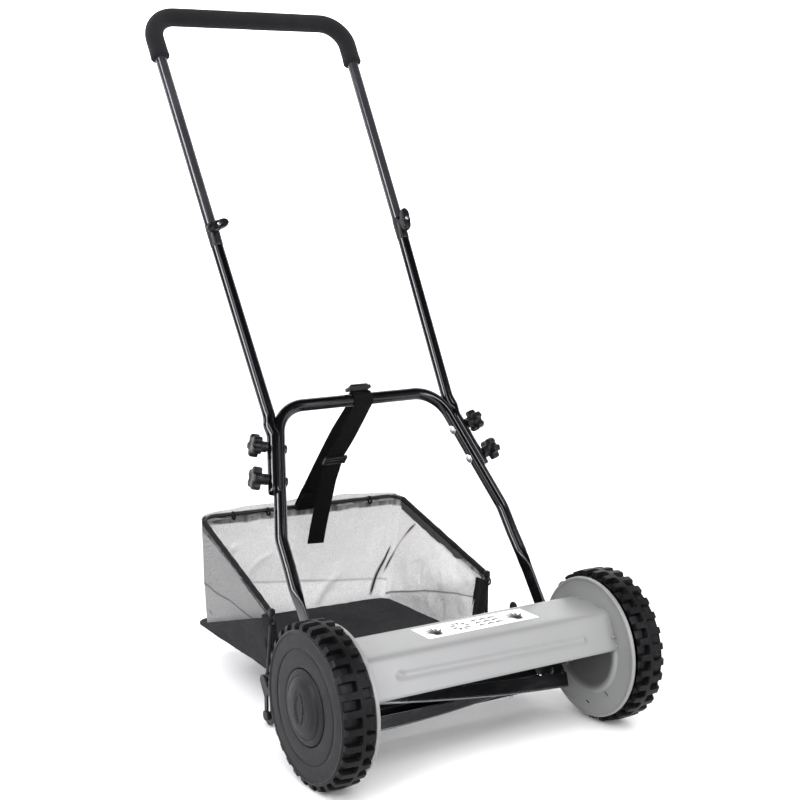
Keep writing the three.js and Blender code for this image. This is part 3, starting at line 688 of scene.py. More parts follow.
def wheel_mesh():
    half_steps = [.09, .17, .195, .215, .24, .265, .285, .305, .35, .43]
    steps = [0, *half_steps, .5, *(1 - step for step in reversed(half_steps))]
    rings = []
    for pitch_number in range(PITCHES):
        for fraction in steps:
            angle = 2 * math.pi * (pitch_number + fraction) / PITCHES
            ring = list(BACK_PROFILE)
            for x in TREAD_PROFILE:
                crown = WHEEL_RADIUS - 0.2 - 0.9 * ((x - 221) / 18) ** 2 - 0.5 * (x < 203)
                ring.append((crown - POCKET_DEPTH * pocket(fraction, x), x))
            for radius, x, share in SHOULDER:
                ring.append((radius - POCKET_DEPTH * share * pocket(fraction, 234.0), x))
            ring += FACE_PROFILE
            rings.append([(x, *polar(angle, r)) for r, x in ring])
    rings = np.asarray(rings)
    return rings.reshape(-1, 3), grid_faces(len(rings), rings.shape[1], True, True)


def ring_gear_mesh():
    teeth = 42
    inner = []
    start = math.atan2(REEL[2], REEL[1]) + math.pi / teeth
    for i in range(teeth):
        for radius, half in ((66.2, -2.3), (60.8, -1.1), (60.8, 1.1), (66.2, 2.3)):
            angle = start + 2 * math.pi * i / teeth + half / radius
            inner.append(polar(angle, radius))
    outer = [70.4 * unit(p) for p in inner]
    sections = ((inner, 204.0), (outer, 204.0), (outer, 232.1), (inner, 232.1))
    return loft([[(x, *p) for p in section] for section, x in sections], closed=True)


def hub_cap_mesh():
    """A dome of stepped rings with a plain oval boss."""
    profile = [(47.5, 236.0), (47.5, 242.9), (47.0, 243.7), (46.0, 244.3), (43.0, 244.9), (41.2, 245.3),
               (40.3, 245.5), (39.7, 245.1), (39.1, 244.9), (38.4, 245.5), (37.7, 246.6), (36.6, 247.0),
               (33.0, 248.0), (30.0, 249.1), (27.4, 250.1), (26.6, 250.2), (26.0, 250.1), (25.0, 250.5),
               (22.5, 250.9), (20.0, 251.1), (18.0, 251.2), (16.0, 251.3), (14.0, 251.4), (12.5, 251.5),
               (11.0, 251.5), (9.5, 251.6), (8.0, 251.6), (6.0, 251.7), (4.0, 251.7), (2.0, 251.7),
               (0.0, 251.7)]
    columns = 120
    rings = []
    for k in range(columns):
        angle = 2 * math.pi * k / columns
        ring = []
        for r, x in profile:
            y, z = polar(angle, r)
            oval = math.hypot(y / 8.8, z / 17.5)
            rim = math.exp(-((oval - 1.0) / 0.11) ** 2)
            groove = math.exp(-((oval - 1.22) / 0.08) ** 2)
            x += 1.0 * rim - 0.9 * groove - (0.5 if oval < 1 else 0.0)
            ring.append((x, *polar(angle, max(r, 0.001))))
        rings.append(ring)
    faces = grid_faces(columns, len(profile), True)
    faces.append(tuple(k * len(profile) for k in range(columns)))
    return np.asarray(rings).reshape(-1, 3), faces


def make_wheels():
    for wheel in add_pair("wheel_moulding", wheel_mesh(), WHEEL_FACE, "SIDE_wheel", "wheel", 34):
        paint_tread_shade(wheel)
    add_pair("ring_gear", ring_gear_mesh(), WHEEL_TREAD, "SIDE_wheel")
    add_pair("hub_dome", hub_cap_mesh(), WHEEL_FACE, "SIDE_wheel", "hub_cap", 50)
    axle = turned(rounded([(0, 184), (10, 184), (10, 193.7), (5.9, 193.7), (5.9, 239), (0, 239)]))
    add_pair("axle_pin", axle, ZINC, node="wheel_axle")


def paint_tread_shade(wheel):
    """Gives the tread a darker copy of the face's plastic, as painted shade, though the wheel is one
    moulding.
    """
    wheel.data.materials.append(WHEEL_TREAD.material)
    for face in wheel.data.polygons:
        place = face.center * 1000 - Vector(AXLE)
        if math.hypot(place.y, place.z) > 95.5 and abs(place.x) < 242.2:
            face.material_index = 1


# ------------------------------------------------------------------ side plates and deck
def plate_mesh():
    """A dished steel disc with a rolled rim and a pressed ring round the axle."""
    front = [(6.3, 191.0), (9.0, 191.0), (13.0, 190.2), (16.0, 190.0), (40.0, 190.2), (50.0, 189.6),
             (54.0, 188.2), (57.0, 187.3), (60.0, 188.0), (62.0, 190.0), (63.5, 191.0), (66.0, 191.1),
             (80.0, 191.1), (90.2, 191.0), (91.6, 190.6), (92.4, 189.9), (93.2, 189.5), (94.2, 189.4),
             (95.2, 189.7), (95.8, 190.4), (95.9, 191.5), (95.9, 194.0), (95.4, 194.8), (94.6, 195.0),
             (94.0, 194.6), (93.8, 193.2)]
    back = [(r, x + 1.9) for r, x in reversed(front[:13])]
    profile = front + [(92.0, 193.0)] + back
    return turned([(r, x + PLATE_SHIFT) for r, x in profile], 144)


def combine(piece, part, operation, use_self=False):
    """Joins a part to a finished piece, or cuts it out, and leaves a plain mesh."""
    tool = placed("tool", new_mesh("tool", *part, weld=False))
    modifier = piece.modifiers.new("combine", "BOOLEAN")
    modifier.object = tool
    modifier.operation = operation
    modifier.solver = "EXACT"
    modifier.use_self = use_self
    shape = bpy.data.meshes.new_from_object(piece.evaluated_get(bpy.context.evaluated_depsgraph_get()))
    piece.modifiers.remove(modifier)
    piece.data = shape
    bpy.data.objects.remove(tool)


def carve(piece, holes, sharp=30.0):
    combine(piece, merged(*holes), "DIFFERENCE", use_self=True)
    piece.data.set_sharp_from_angle(angle=math.radians(sharp))


def round_hole(radius, y, z, low=180.0, high=204.0):
    return turned([(0, low), (radius, low), (radius, high), (0, high)], 32, (0, y, z))


def slot_hole(y, z, turn, length, radius=1.3):
    half = polar(turn, 0.5 * length)
    return prism(strip_outline(np.array([y, z]) - half, np.array([y, z]) + half, radius, 6), (180.0, 204.0))


def make_plates():
    plate = plate_mesh()
    holes = [round_hole(16, REEL[1], REEL[2]), round_hole(5, 72.9, 15.0),
             round_hole(4.4, BRACKET_BOLT[1], BRACKET_BOLT[2]), slot_hole(-41.6, -54.5, 0.5, 7),
             slot_hole(-2.0, -78.0, 0.2, 6)]
    # Painted shade in the pressed dish round the axle, darkest towards its middle.
    painted_dish_shade = 0.75 * smooth((62 - np.hypot(plate[0][:, 1], plate[0][:, 2])) / 12)
    pieces = add_pair("plate", plate, PLATE_PAINT, "chassis", "side_plate", 35, painted_dish_shade)
    for piece, (_, mirror) in zip(pieces, SIDES):
        carve(piece, [flipped(hole, mirror) for hole in holes])


DECK_FOLD = np.array([-42.6, 61.5])
DECK_FRONT = np.array([-63.0, 13.4])
DECK_THICK = 1.5


def deck_line():
    """The sheet's middle line as [y, z, distance below the fold]."""
    bend = 9.0
    line = [(39.4, 49.5), (39.4, 52.0), (39.2, 57.5), (38.0, 60.2), (35.5, 61.4)]
    line += [(y, 61.5 + 0.35 * math.cos((y + 2) / 45.0 * 1.5)) for y in np.linspace(31, -32, 14)]
    down = unit(DECK_FRONT - DECK_FOLD)
    start = DECK_FOLD + np.array([bend, 0])
    end = DECK_FOLD + down * bend
    for t in np.linspace(0, 1, 9):
        line.append(tuple((1 - t) ** 2 * start + 2 * t * (1 - t) * DECK_FOLD + t * t * end))
    total = np.linalg.norm(DECK_FRONT - DECK_FOLD)
    line += [tuple(DECK_FOLD + down * s) for s in np.linspace(bend + 1.6, total - 3.5, 26)]
    hem = DECK_FRONT - down * 3.5
    line += [tuple(hem + down * 2.2), tuple(hem + down * 3.4 + np.array([0.8, 0.0])),
             tuple(hem + down * 3.5 + np.array([2.2, 0.1])), tuple(hem + down * 2.6 + np.array([3.4, 0.4]))]
    return np.array(line)


def deck_mesh():
    line = deck_line()
    along = np.gradient(line, axis=0)
    along /= np.linalg.norm(along, axis=1)[:, None]
    outward = np.column_stack([-along[:, 1], along[:, 0]])
    if outward[12] @ np.array([0, 1]) < 0:
        outward = -outward
    down = unit(DECK_FRONT - DECK_FOLD)
    length = np.linspace(-DECK_HALF_LENGTH, DECK_HALF_LENGTH, 97)
    bead_ends = np.concatenate([np.linspace(-150, -128, 23), np.linspace(135, 155, 16)])
    rings = []
    for x in np.unique(np.concatenate([length, bead_ends, [-192.9, 192.9]])):
        skin = []
        for (y, z), normal in zip(line, outward):
            below = (np.array([y, z]) - DECK_FOLD) @ down
            raised = 0.0
            if below > 6 and y < -38:
                reach = max(0.0, abs(x - 3.5) - 138.0)
                distance = math.hypot(below - 27.0 - 0.012 * (x + 140), reach)
                raised = 1.7 * math.exp(-((distance / 4.6) ** 2) ** 1.2)
                dimple = math.hypot(below - 26.0, x + 141.0)
                raised += 2.2 * math.exp(-((dimple / 4.8) ** 2))
            skin.append((x, *(np.array([y, z]) + normal * (DECK_THICK / 2 + raised))))
        under = [(x, *(place - normal * DECK_THICK / 2)) for place, normal in zip(line, outward)]
        rings.append(skin + under[::-1])
    return loft(rings)


def make_deck():
    add("deck_sheet", *deck_mesh(), SILVER, "chassis", ["deck_cover"], 50)
    tabs = [box_part((190.6, y, z), (5.4, 12, 3.0), 0.8) for y, z in ((30, 51.6), (-18, 53.6), (-54.5, 30.6))]
    add_pair("deck_tabs", merged(*tabs), SILVER)
    rivet = [(0, 190.8), (1.9, 190.9), (2.3, 191.6), (2.3, 193.9), (0, 193.9)]
    rivets = [turned(rivet, 16, (0, y, z)) for y, z in ((22.0, 62.2), (-30.0, 62.0), (-61.0, 19.0))]
    add_pair("deck_rivets", merged(*rivets), SILVER)


LABEL_MIDDLE = np.array([11.0, 3.5])
LABEL_HALF = np.array([86.0, 22.0])
LABEL_TOP = 62.95
LABEL_CORNER = 2.0


def ink_stroke(start, control, end, width):
    """A thin leaf-shaped mark along a bend from start to end, as [x, y] points."""
    t = np.linspace(0, 1, 9)[:, None]
    start, control, end = (np.asarray(p, float) for p in (start, control, end))
    path = (1 - t) ** 2 * start + 2 * t * (1 - t) * control + t * t * end
    along = np.gradient(path, axis=0)
    sideways = np.column_stack([-along[:, 1], along[:, 0]]) / np.linalg.norm(along, axis=1)[:, None]
    half = width * np.sin(np.linspace(0.35, math.pi - 0.15, 9))[:, None] / 2
    border = np.concatenate([path + sideways * half, (path - sideways * half)[::-1]])
    return loft([[(x, y, z) for x, y in border] for z in (LABEL_TOP - 0.05, LABEL_TOP + 0.07)])


def make_label():
    """A pale plate with plain grass-tuft, sun and wave motifs."""
    outline = []
    for quarter, signs in enumerate(((1, 1), (-1, 1), (-1, -1), (1, -1))):
        centre = LABEL_MIDDLE + np.array(signs) * (LABEL_HALF - LABEL_CORNER)
        for k in range(5):
            outline.append(centre + polar(math.pi / 2 * (quarter + k / 4), LABEL_CORNER))
    plate = loft([[(x, y, z) for x, y in outline] for z in (LABEL_TOP - 0.4, LABEL_TOP)])
    add("label_plate", *plate, LABEL, "chassis", ["deck_label"])
    ink = []
    for foot in (-54.0, 72.0):
        for lean, tip in ((-16, 5), (-10, 12), (-4, 17), (2, 19), (8, 14), (14, 7)):
            ink.append(ink_stroke((foot + lean * 0.25, -12), (foot + lean * 0.3, 2), (foot + lean, tip), 4.2))
    sun = np.array([-13.0, 4.0])
    for angle in full_circle(9):
        ink.append(ink_stroke(*(sun + polar(angle, reach) for reach in (7, 10, 15)), 4.4))
    for y in (-8, 2, 12):
        for x in (10, 23, 36):
            ink.append(ink_stroke((x, y), (x + 6.5, y + 7), (x + 13, y), 4.4))
    add("label_motifs", *merged(*ink), INK, "chassis")


# ------------------------------------------------------------------ reel
def twist_at(x):
    return REEL_PHASE + REEL_TWIST * x / (2 * REEL_HALF_LENGTH)


def blade_mesh(index, edge_only=False):
    """A helical strip, ground to a bright land along its cutting edge."""
    tilt = math.radians(40)
    across = np.array([math.sin(-tilt), math.cos(tilt)])
    through = np.array([across[1], -across[0]])
    root = np.array([0.0, 30.0])
    if edge_only:
        section = [(17.2, -1.16), (19.9, -1.16), (20.02, -0.9), (20.02, 0.5), (19.4, 1.16), (17.2, 1.16)]
    else:
        section = [(0.3, -1.1), (19.3, -1.1), (19.8, -0.8), (19.8, 0.6), (19.3, 1.1), (0.3, 1.1), (0.0, 0.7),
                   (0.0, -0.7)]
    rings = []
    for x in np.linspace(-REEL_HALF_LENGTH, REEL_HALF_LENGTH, 61):
        turn = twist_at(x) + 2 * math.pi * index / BLADE_COUNT
        c, s = math.cos(turn), math.sin(turn)
        ring = []
        for along, out in section:
            y, z = root + across * along + through * out
            ring.append((x, REEL[1] + y * c - z * s, REEL[2] + y * s + z * c))
        rings.append(ring)
    return loft(rings)


def spider_mesh(x):
    outline = []
    for i in range(BLADE_COUNT):
        middle = math.pi / 2 + twist_at(x) + 2 * math.pi * i / BLADE_COUNT
        flank = ((0.4, 17.5), (0.24, 22), (0.19, 27), (0.14, 29.3), (0.1, 29.8))
        arm = [(-0.62, 15), *((-turn, radius) for turn, radius in flank), *reversed(flank)]
        outline += [REEL[1:] + polar(middle + turn, radius) for turn, radius in arm]
    return slab(outline, x - 2, x + 2, 0.6)


def make_reel():
    for i in range(BLADE_COUNT):
        add(f"helical_blade_{i + 1}", *blade_mesh(i), BLADE, "reel", [f"reel_blade_{i + 1}"], 30)
        add(f"blade_edge_{i + 1}", *blade_mesh(i, True), EDGE, "reel", (), 30)
    for number, x in enumerate((-168.0, 0.0, 168.0), 1):
        welds = [slab_ring(x)]
        for i in range(BLADE_COUNT):
            turn = math.pi / 2 + twist_at(x) + 2 * math.pi * i / BLADE_COUNT
            welds.append(bead((x, *(REEL[1:] + polar(turn, 30.2))), 3.0))
        add(f"spider_{number}", *merged(spider_mesh(x), *welds), BLADE, "reel", [f"reel_spider_{number}"], 35)
    shaft = turned(rounded([(0, -228), (6, -228), (6, 228), (0, 228)], 1.0), 40, REEL)
    add("reel_axle", *shaft, ZINC, "reel", ["reel_shaft"])
    flange = [(6.3, 185), (15.6, 185), (15.6, 196.3), (20, 196.3), (20, 199.8), (6.3, 199.8)]
    add_pair("bearing", turned(rounded(flange), 48, REEL), ZINC, node="reel_bearing")


def slab_ring(x):
    profile = rounded([(6.3, x - 6), (11, x - 6), (11, x + 6), (6.3, x + 6)], 0.8)
    return turned(profile, 32, REEL)


def bead(centre, radius, steps=8):
    """A lump of weld."""
    rings = []
    for k in range(steps + 1):
        angle = math.pi * k / steps
        ring_radius = max(radius * math.sin(angle), 0.01)
        ring = []
        for turn in full_circle(12):
            lump = 1 + 0.12 * math.sin(3 * turn + k)
            ring.append((radius * 1.3 * math.cos(angle), *polar(turn, ring_radius * lump)))
        rings.append(np.asarray(centre) + ring)
    return loft(rings)


def make_bolts():
    pivot = [(0, 174.5), (5.5, 174.5), (7.2, 175.4), (7.5, 176.4), (7.5, 178.5), (4.7, 178.5), (4.7, 183.7),
             (8.5, 183.7), (8.5, 193.7), (4.7, 193.7), (4.7, 196.3), (8, 196.3), (8, 200.3), (0, 200.3)]
    bracket = [(0, 179.5), (6.5, 179.5), (6.5, 183), (4, 183), (4, 189.4), (6, 189.4), (6, 193.7), (4, 193.7),
               (4, 196.3), (6.5, 196.3), (6.5, 200.3), (0, 200.3)]
    part = turned(rounded(pivot, 0.5), 40, (0, HOOP_PIVOT[1], HOOP_PIVOT[2]))
    add_pair("handle_bolt", part, ZINC, node="handle_pivot_bolt")
    add_pair("bracket_screw", turned(rounded(bracket, 0.5), 32, BRACKET_BOLT), ZINC, node="bracket_bolt")


def make_gap_shade_lip():
    """A curved black lip behind the bedknife: a dark sheet that fills the gap under the deck as painted
    shade.
    """
    radius, thick, half_length = 67.5, 1.2, 182
    turns = np.linspace(-0.72, -0.2, 16)
    skin = [REEL[1:] + polar(turn, radius) for turn in turns]
    skin += [REEL[1:] + polar(turn, radius + thick) for turn in reversed(turns)]
    add("gap_shade_lip", *prism(skin, np.linspace(-half_length, half_length, 60)), POWDER, "bedknife")


def make_roller():
    body = [(4.4, -170), (13.5, -170), (15.5, -169.4), (16.6, -168), (17, -166)]
    for x in range(-150, 151, 30):
        body += [(17, x - 1.6), (16.5, x - 0.8), (16.5, x + 0.8), (17, x + 1.6)]
    body += [(17, 166), (16.6, 168), (15.5, 169.4), (13.5, 170), (4.4, 170)]
    add("ground_roller", *turned(body, 56, ROLLER), WHEEL_TREAD, "roller", ["rear_roller"], 30)
    end = 189.4
    head = end + 5
    shaft = [(0, -head), (7, -head), (7, -end), (4, -end), (4, end), (7, end), (7, head), (0, head)]
    add("roller_pin", *turned(rounded(shaft, 0.6), 32, ROLLER), POWDER, "roller_axle", ["roller_shaft"])
    roller_y, roller_z = ROLLER[1:]
    slot_top = (roller_y, roller_z + 24)
    bars = (
        (BRACKET_BOLT[1:], (roller_y, roller_z + 12), 12),
        ((roller_y, roller_z - 3), (roller_y, slot_top[1] + 2), 12),
        ((roller_y + 4, slot_top[1]), BAG_PEG[1:], 8),
        ((165, roller_z + 12), (163, 14), 8),
    )
    arm, *branches = (slab(strip_outline(*bar, 10), *BRACKET_FACES) for bar in bars)
    slot = prism(strip_outline(ROLLER[1:], slot_top, 4.5, 10), (180, 200))
    pieces = add_pair("bracket", arm, POWDER, node="roller_bracket", sharp=30)
    for piece, (_, mirror) in zip(pieces, SIDES):
        for branch in branches:
            combine(piece, flipped(branch, mirror), "UNION")
        carve(piece, [flipped(slot, mirror), flipped(round_hole(4.3, *BRACKET_BOLT[1:]), mirror)])
    peg = rounded([(0, 175), (5, 175), (5, 176.6), (3.8, 176.6), (3.8, 187), (0, 187)], 0.4)
    add_pair("bag_peg", turned(peg, 24, (0, *BAG_PEG[1:])), POWDER)


# ------------------------------------------------------------------ handle
LEG_UP = unit(HOOP_TOP - HOOP_KNEE)
LEG_OUT = unit(X_AXIS - LEG_UP * LEG_UP[0])
LEG_NORMAL = np.cross(LEG_UP, LEG_OUT)
UPPER_UP = unit(UPPER_TOP - UPPER_FOOT)
HOOP_SIDE = unit(np.cross(X_AXIS, LEG_UP))


def mirror_point(p):
    return np.asarray(p) * np.array([-1.0, 1.0, 1.0])


def leg_frame(distance):
    """X points out from the hoop's leg and Z up along it, at a distance above the upper bolt."""
    place = HOOP_KNEE + LEG_UP * ((BOLT_HEIGHT - HOOP_KNEE[2]) / LEG_UP[2] + distance)
    return np.column_stack([LEG_OUT, LEG_NORMAL, LEG_UP, place])


def make_hoop():
    tip = HOOP_PIVOT - unit(HOOP_KNEE - HOOP_PIVOT) * 12 * np.array([0, 1, 1])
    low = HOOP_PIVOT + (HOOP_KNEE - HOOP_PIVOT) * np.array([0, 1, 1]) * 0.6
    high = np.array([179.3, *(HOOP_PIVOT + (HOOP_KNEE - HOOP_PIVOT) * 0.78)[1:]])
    corners = [tip, low, high, HOOP_KNEE, HOOP_TOP]
    corners += [mirror_point(c) for c in reversed(corners)]
    route = bent_route(corners, [40, 40, 45, 50, 50, 45, 40, 40], 12, 5.0)
    total = lengths(route)[-1]
    flat_length = np.linalg.norm((HOOP_KNEE - HOOP_PIVOT)[1:]) * 0.43 + 12
    round_length = flat_length + 36

    def section(s):
        s = min(s, total - s)
        t = float(smooth((s - flat_length) / (round_length - flat_length)))
        across = 12 + (LOWER_TUBE_RADIUS - 12) * t
        through = 2.2 + (LOWER_TUBE_RADIUS - 2.2) * t ** 1.1
        if s < 12:
            across = math.sqrt(max(144 - (12 - s) ** 2, 0.2))
        return across, through

    bent = swept(route, section, HOOP_SIDE, 40)
    hoop = add("hoop_tube", *bent, GLOSS_BLACK, "handle", ["lower_handle"], 60)
    hole = round_hole(5, *HOOP_PIVOT[1:], low=170)
    carve(hoop, [hole, flipped(hole, -1)], 40)


TUBE_GAP = 13.0  # from the hoop's leg to the middle of the round tube that leaves it


def saddle_section(t, count=48):
    """From a round tube, at t 1, to a crescent pressed against the hoop's leg, at t 0."""
    saddle_radius, offset, inner = 10.3, 6.5, 9.15
    meet_x = (inner**2 - saddle_radius**2 + offset**2) / (2 * offset)
    meet_y = math.sqrt(inner**2 - meet_x**2)
    outer_angle = math.atan2(meet_y, meet_x - offset)
    inner_angle = math.atan2(meet_y, meet_x)
    half = count // 2
    crescent = []
    for k in range(half):
        angle = -outer_angle + 2 * outer_angle * (k + 0.5) / half
        crescent.append(polar(angle, saddle_radius) + [offset, 0])
    for k in range(half):
        crescent.append(polar(inner_angle - 2 * inner_angle * (k + 0.5) / half, inner))
    tube_ring = []
    for k in range(count):
        angle = -math.pi + 2 * math.pi * (k + 0.5) / count + math.pi / 2
        tube_ring.append(polar(angle, LOWER_TUBE_RADIUS) + [TUBE_GAP, 0])
    return np.array(crescent) * (1 - t) + np.array(tube_ring) * t


def middle_tube_mesh():
    bend_distance = 47.0
    bend = leg_frame(bend_distance) @ np.array([TUBE_GAP, 0, 0, 1])
    rings = []
    for distance in np.concatenate([[-66.0, -65.6, -64.5], np.linspace(-62, bend_distance - 14, 34)]):
        t = float(smooth((distance - 16) / 18.0))
        local = saddle_section(t)
        if distance < -64:
            middle = local.mean(axis=0)
            local = middle + (local - middle) * (1 - 0.05 * (-64 - distance))
        place = leg_frame(distance)
        rings.append(local @ place[:, :2].T + place[:, 3])
    start = leg_frame(bend_distance - 12) @ np.array([TUBE_GAP, 0, 0, 1])
    end = UPPER_FOOT + UPPER_UP * 58
    route = bent_route([start, bend, UPPER_FOOT - UPPER_UP * 0.3, end], [40, 2000], 8, 12.0)
    along = tangents(route)
    places = lengths(route)
    joint = np.linalg.norm(UPPER_FOOT - bend) + 12
    local = saddle_section(1.0) - np.array([TUBE_GAP, 0])
    extra = [joint - 3.0, joint - 0.6, joint, joint + 0.1, joint + 0.6]
    stops = np.unique(np.concatenate([places, extra]))
    for s in stops:
        point = at_length(route, places, s)
        ahead = unit(at_length(along, places, s))
        out = unit(LEG_OUT - ahead * (ahead @ LEG_OUT))
        normal = np.cross(ahead, out)
        scale = SPIGOT_RADIUS / LOWER_TUBE_RADIUS if s > joint - 0.5 else 1.0
        rings.append(point + (local[:, :1] * out + local[:, 1:] * normal) * scale)
    return loft(rings)


def star_knob_mesh():
    """A five-lobed head on a ribbed stem, along the leg frame's X."""
    base = 17.3
    columns = 100
    turns = full_circle(columns)
    gap = (turns * 5 / (2 * math.pi) + 0.5) % 1.0 - 0.5
    lobe = np.exp(-((np.abs(gap) * 2 * math.pi / 5 / 0.37) ** 6))
    # How high above the base each ring is, its radius between the lobes, and how far the lobes stand out.
    stages = [(0, 0.001, 0), (0, 5.8, 0), (0.5, 6.6, 0), (6, 6.4, 0.02), (10, 6.9, 0.05), (11.6, 9.2, 0.6),
              (12.1, 10.6, 1), (13.2, 10.9, 1), (15, 11.0, 1), (21, 11.0, 1), (22.6, 10.8, 0.97),
              (23.6, 10.0, 0.9), (24, 8.6, 0.75), (24, 7.4, 0.15), (23.6, 6.6, 0), (23.3, 5.8, 0),
              (23.3, 0.001, 0)]
    rings = []
    for rise, radius, star in stages:
        r = radius + 5.0 * star * lobe
        rings.append(np.column_stack([np.full(columns, base + rise), r * np.cos(turns), r * np.sin(turns)]))
    head = loft(rings, caps=False)
    ribs = []
    for k in range(5):
        angle = 2 * math.pi * k / 5
        out = np.array([0.0, *polar(angle)])
        side = np.cross(X_AXIS, out)
        centre = X_AXIS * (base + 6.2) + out * 6.8
        ribs.append(box_part(centre, (11.6, 2.0, 1.8), 0.4, [X_AXIS, out, side]))
    return merged(head, *ribs)


def make_leg_fittings():
    knob = star_knob_mesh()
    bolt = turned([(0, -12.2), (2.4, -12.0), (4.4, -11.3), (5.9, -10.2), (6.8, -9.4), (6.9, -9.0), (3, -9.0),
                   (3, 36.0), (0, 36.0)], 32)
    for place, distance, spin in (("upper", 0.0, 0.35), ("lower", -HOLE_SPACING, 1.0)):
        spun = np.array(Matrix.Rotation(spin, 4, "X"))[:3]
        head = moved(moved(knob, spun), leg_frame(distance))
        add_pair(f"{place}_star", head, KNOB, f"SIDE_{place}_knob", f"{place}_star_knob", 38)
        rod = moved(bolt, leg_frame(distance))
        add_pair(f"{place}_bolt", rod, ZINC, "handle", f"{place}_carriage_bolt", 38)
    add_pair("side_tube", middle_tube_mesh(), GLOSS_BLACK, "handle", "middle_tube", 50)


def make_upper_handle():
    corners = [UPPER_FOOT, UPPER_TOP, mirror_point(UPPER_TOP), mirror_point(UPPER_FOOT)]
    side = unit(np.cross(X_AXIS, UPPER_UP))
    handle = tube(bent_route(corners, UPPER_BENDS, 16), UPPER_TUBE_RADIUS, side, 40, 0.6)
    add("top_handle", *handle, UPPER_LIT_BLACK, "handle", ["upper_handle"], 50)
    foot = UPPER_TOP - UPPER_UP * GRIP_LEG
    route = bent_route([foot, UPPER_TOP, mirror_point(UPPER_TOP), mirror_point(foot)], UPPER_BENDS, 22, 6.0)
    total = lengths(route)[-1]

    def thick(s):
        edge = min(s, total - s)
        lip = 0.7 * math.exp(-(((edge - 4.0) / 3.0) ** 2))
        soft = 0.25 * lumps(s * 0.03, 1.7, 4.2)
        return GRIP_RADIUS - 0.9 + lip + soft

    grip = add("foam_sleeve", *tube(route, thick, side, 48, 2.4), FOAM, "handle", ["foam_grip"], 60)


def wing_frame(turn):
    """X points back to front along the wing bolt, and Z up the tube, spun by turn about the bolt."""
    forward = -unit(np.cross(X_AXIS, UPPER_UP))
    if forward[1] > 0:
        forward = -forward
    up = UPPER_UP * math.cos(turn) + X_AXIS * math.sin(turn)
    return np.column_stack([forward, np.cross(up, forward), up, UPPER_FOOT + UPPER_UP * 24])


def wing_knob_mesh():
    """Two thick paddles on a hub, with a round pocket for a nut."""
    base = 9.0
    columns = 72
    turns = full_circle(columns)
    paddle = np.abs(np.sin(turns)) ** 5
    rings = []
    for hub, reach, x in ((0.001, 0, base), (6.6, 0, base), (7.0, 0, base + 0.8), (6.4, 0.3, base + 3.5),
                          (6.8, 0.85, base + 5.5), (7.0, 1.0, base + 8.0), (7.1, 1.0, base + 12.0),
                          (6.8, 0.95, base + 14.0), (5.9, 0.86, base + 15.0), (4.9, 0.1, base + 14.6),
                          (4.3, 0, base + 13.0), (0.001, 0, base + 13.0)):
        r = hub + 11.5 * reach * paddle
        across = r * np.cos(turns)
        high = r * np.sin(turns)
        rings.append(np.column_stack([np.full(columns, x), across, high]))
    return loft(rings, caps=False)


def make_wing_knobs():
    knob = wing_knob_mesh()
    nut = slab([polar(k * math.pi / 3, 3.0) for k in range(6)], 21.4, 25.2, 0.5)
    nut = merged(nut, turned([(0, 8.0), (2.2, 8.0), (2.2, 25.4), (1.8, 26), (0, 26)], 20))
    end = turned([(0, -9.6), (4.0, -9.4), (5.6, -8.7), (5.9, -8.2), (2.8, -8.2), (2.8, 8), (0, 8)], 24)
    collar_rings = []
    for height, radius, boss in (
        (-23.0, 8.8, 0), (-22.6, 9.05, 0), (-21, 9.2, 0), (-15, 9.2, 0.1), (-8, 9.2, 0.75), (0, 9.2, 1.0),
        (6, 9.2, 0.8), (9.5, 9.0, 0.25), (11, 8.8, 0), (11.0, 8.56, 0), (-23.0, 8.56, 0),
    ):
        ring = []
        for turn in full_circle(40):
            push = 2.2 * boss * max(0.0, math.cos(turn)) ** 3
            ring.append((*polar(turn, radius + push), height))
        collar_rings.append(ring)
    collar = loft(collar_rings, closed=True)
    for (side, mirror), turn in zip(SIDES, (0.12, -1.25)):
        spun = wing_frame(turn)
        plain = wing_frame(0.0)
        body = f"{side}_wing_knob"
        add(f"{side}_wing", *flipped(moved(knob, spun), mirror), KNOB, body, [f"{side}_wing_knob"], 38)
        add(f"{side}_wing_nut", *flipped(moved(nut, spun), mirror), ZINC, body, (), 30)
        add(f"{side}_collar", *flipped(moved(collar, plain), mirror), KNOB, "handle", (), 40)
        add(f"{side}_wing_bolt_head", *flipped(moved(end, plain), mirror), KNOB, "handle", (), 38)


# ------------------------------------------------------------------ strap
BAR = HOOP_TOP[1:]
STRAP_X = 2.0
STRAP_WIDTH = 30.0
STRAP_THICK = 1.8


def arc_round_bar(radius, start, end, steps):
    return [BAR + polar(angle, radius) for angle in np.radians(np.linspace(start, end, steps))]


def smooth_line(points, per_span=8):
    """A Catmull-Rom curve through [y, z] points."""
    points = [np.asarray(p, float) for p in points]
    ends = [2 * points[0] - points[1]] + points + [2 * points[-1] - points[-2]]
    line = []
    for a, b, c, d in zip(ends, ends[1:], ends[2:], ends[3:]):
        for t in np.linspace(0, 1, per_span, endpoint=False):
            line.append(0.5 * (2 * b + (c - a) * t + (2 * a - 5 * b + 4 * c - d) * t**2
                               + (3 * b - a - 3 * c + d) * t**3))
    line.append(points[-1])
    return np.array(line)


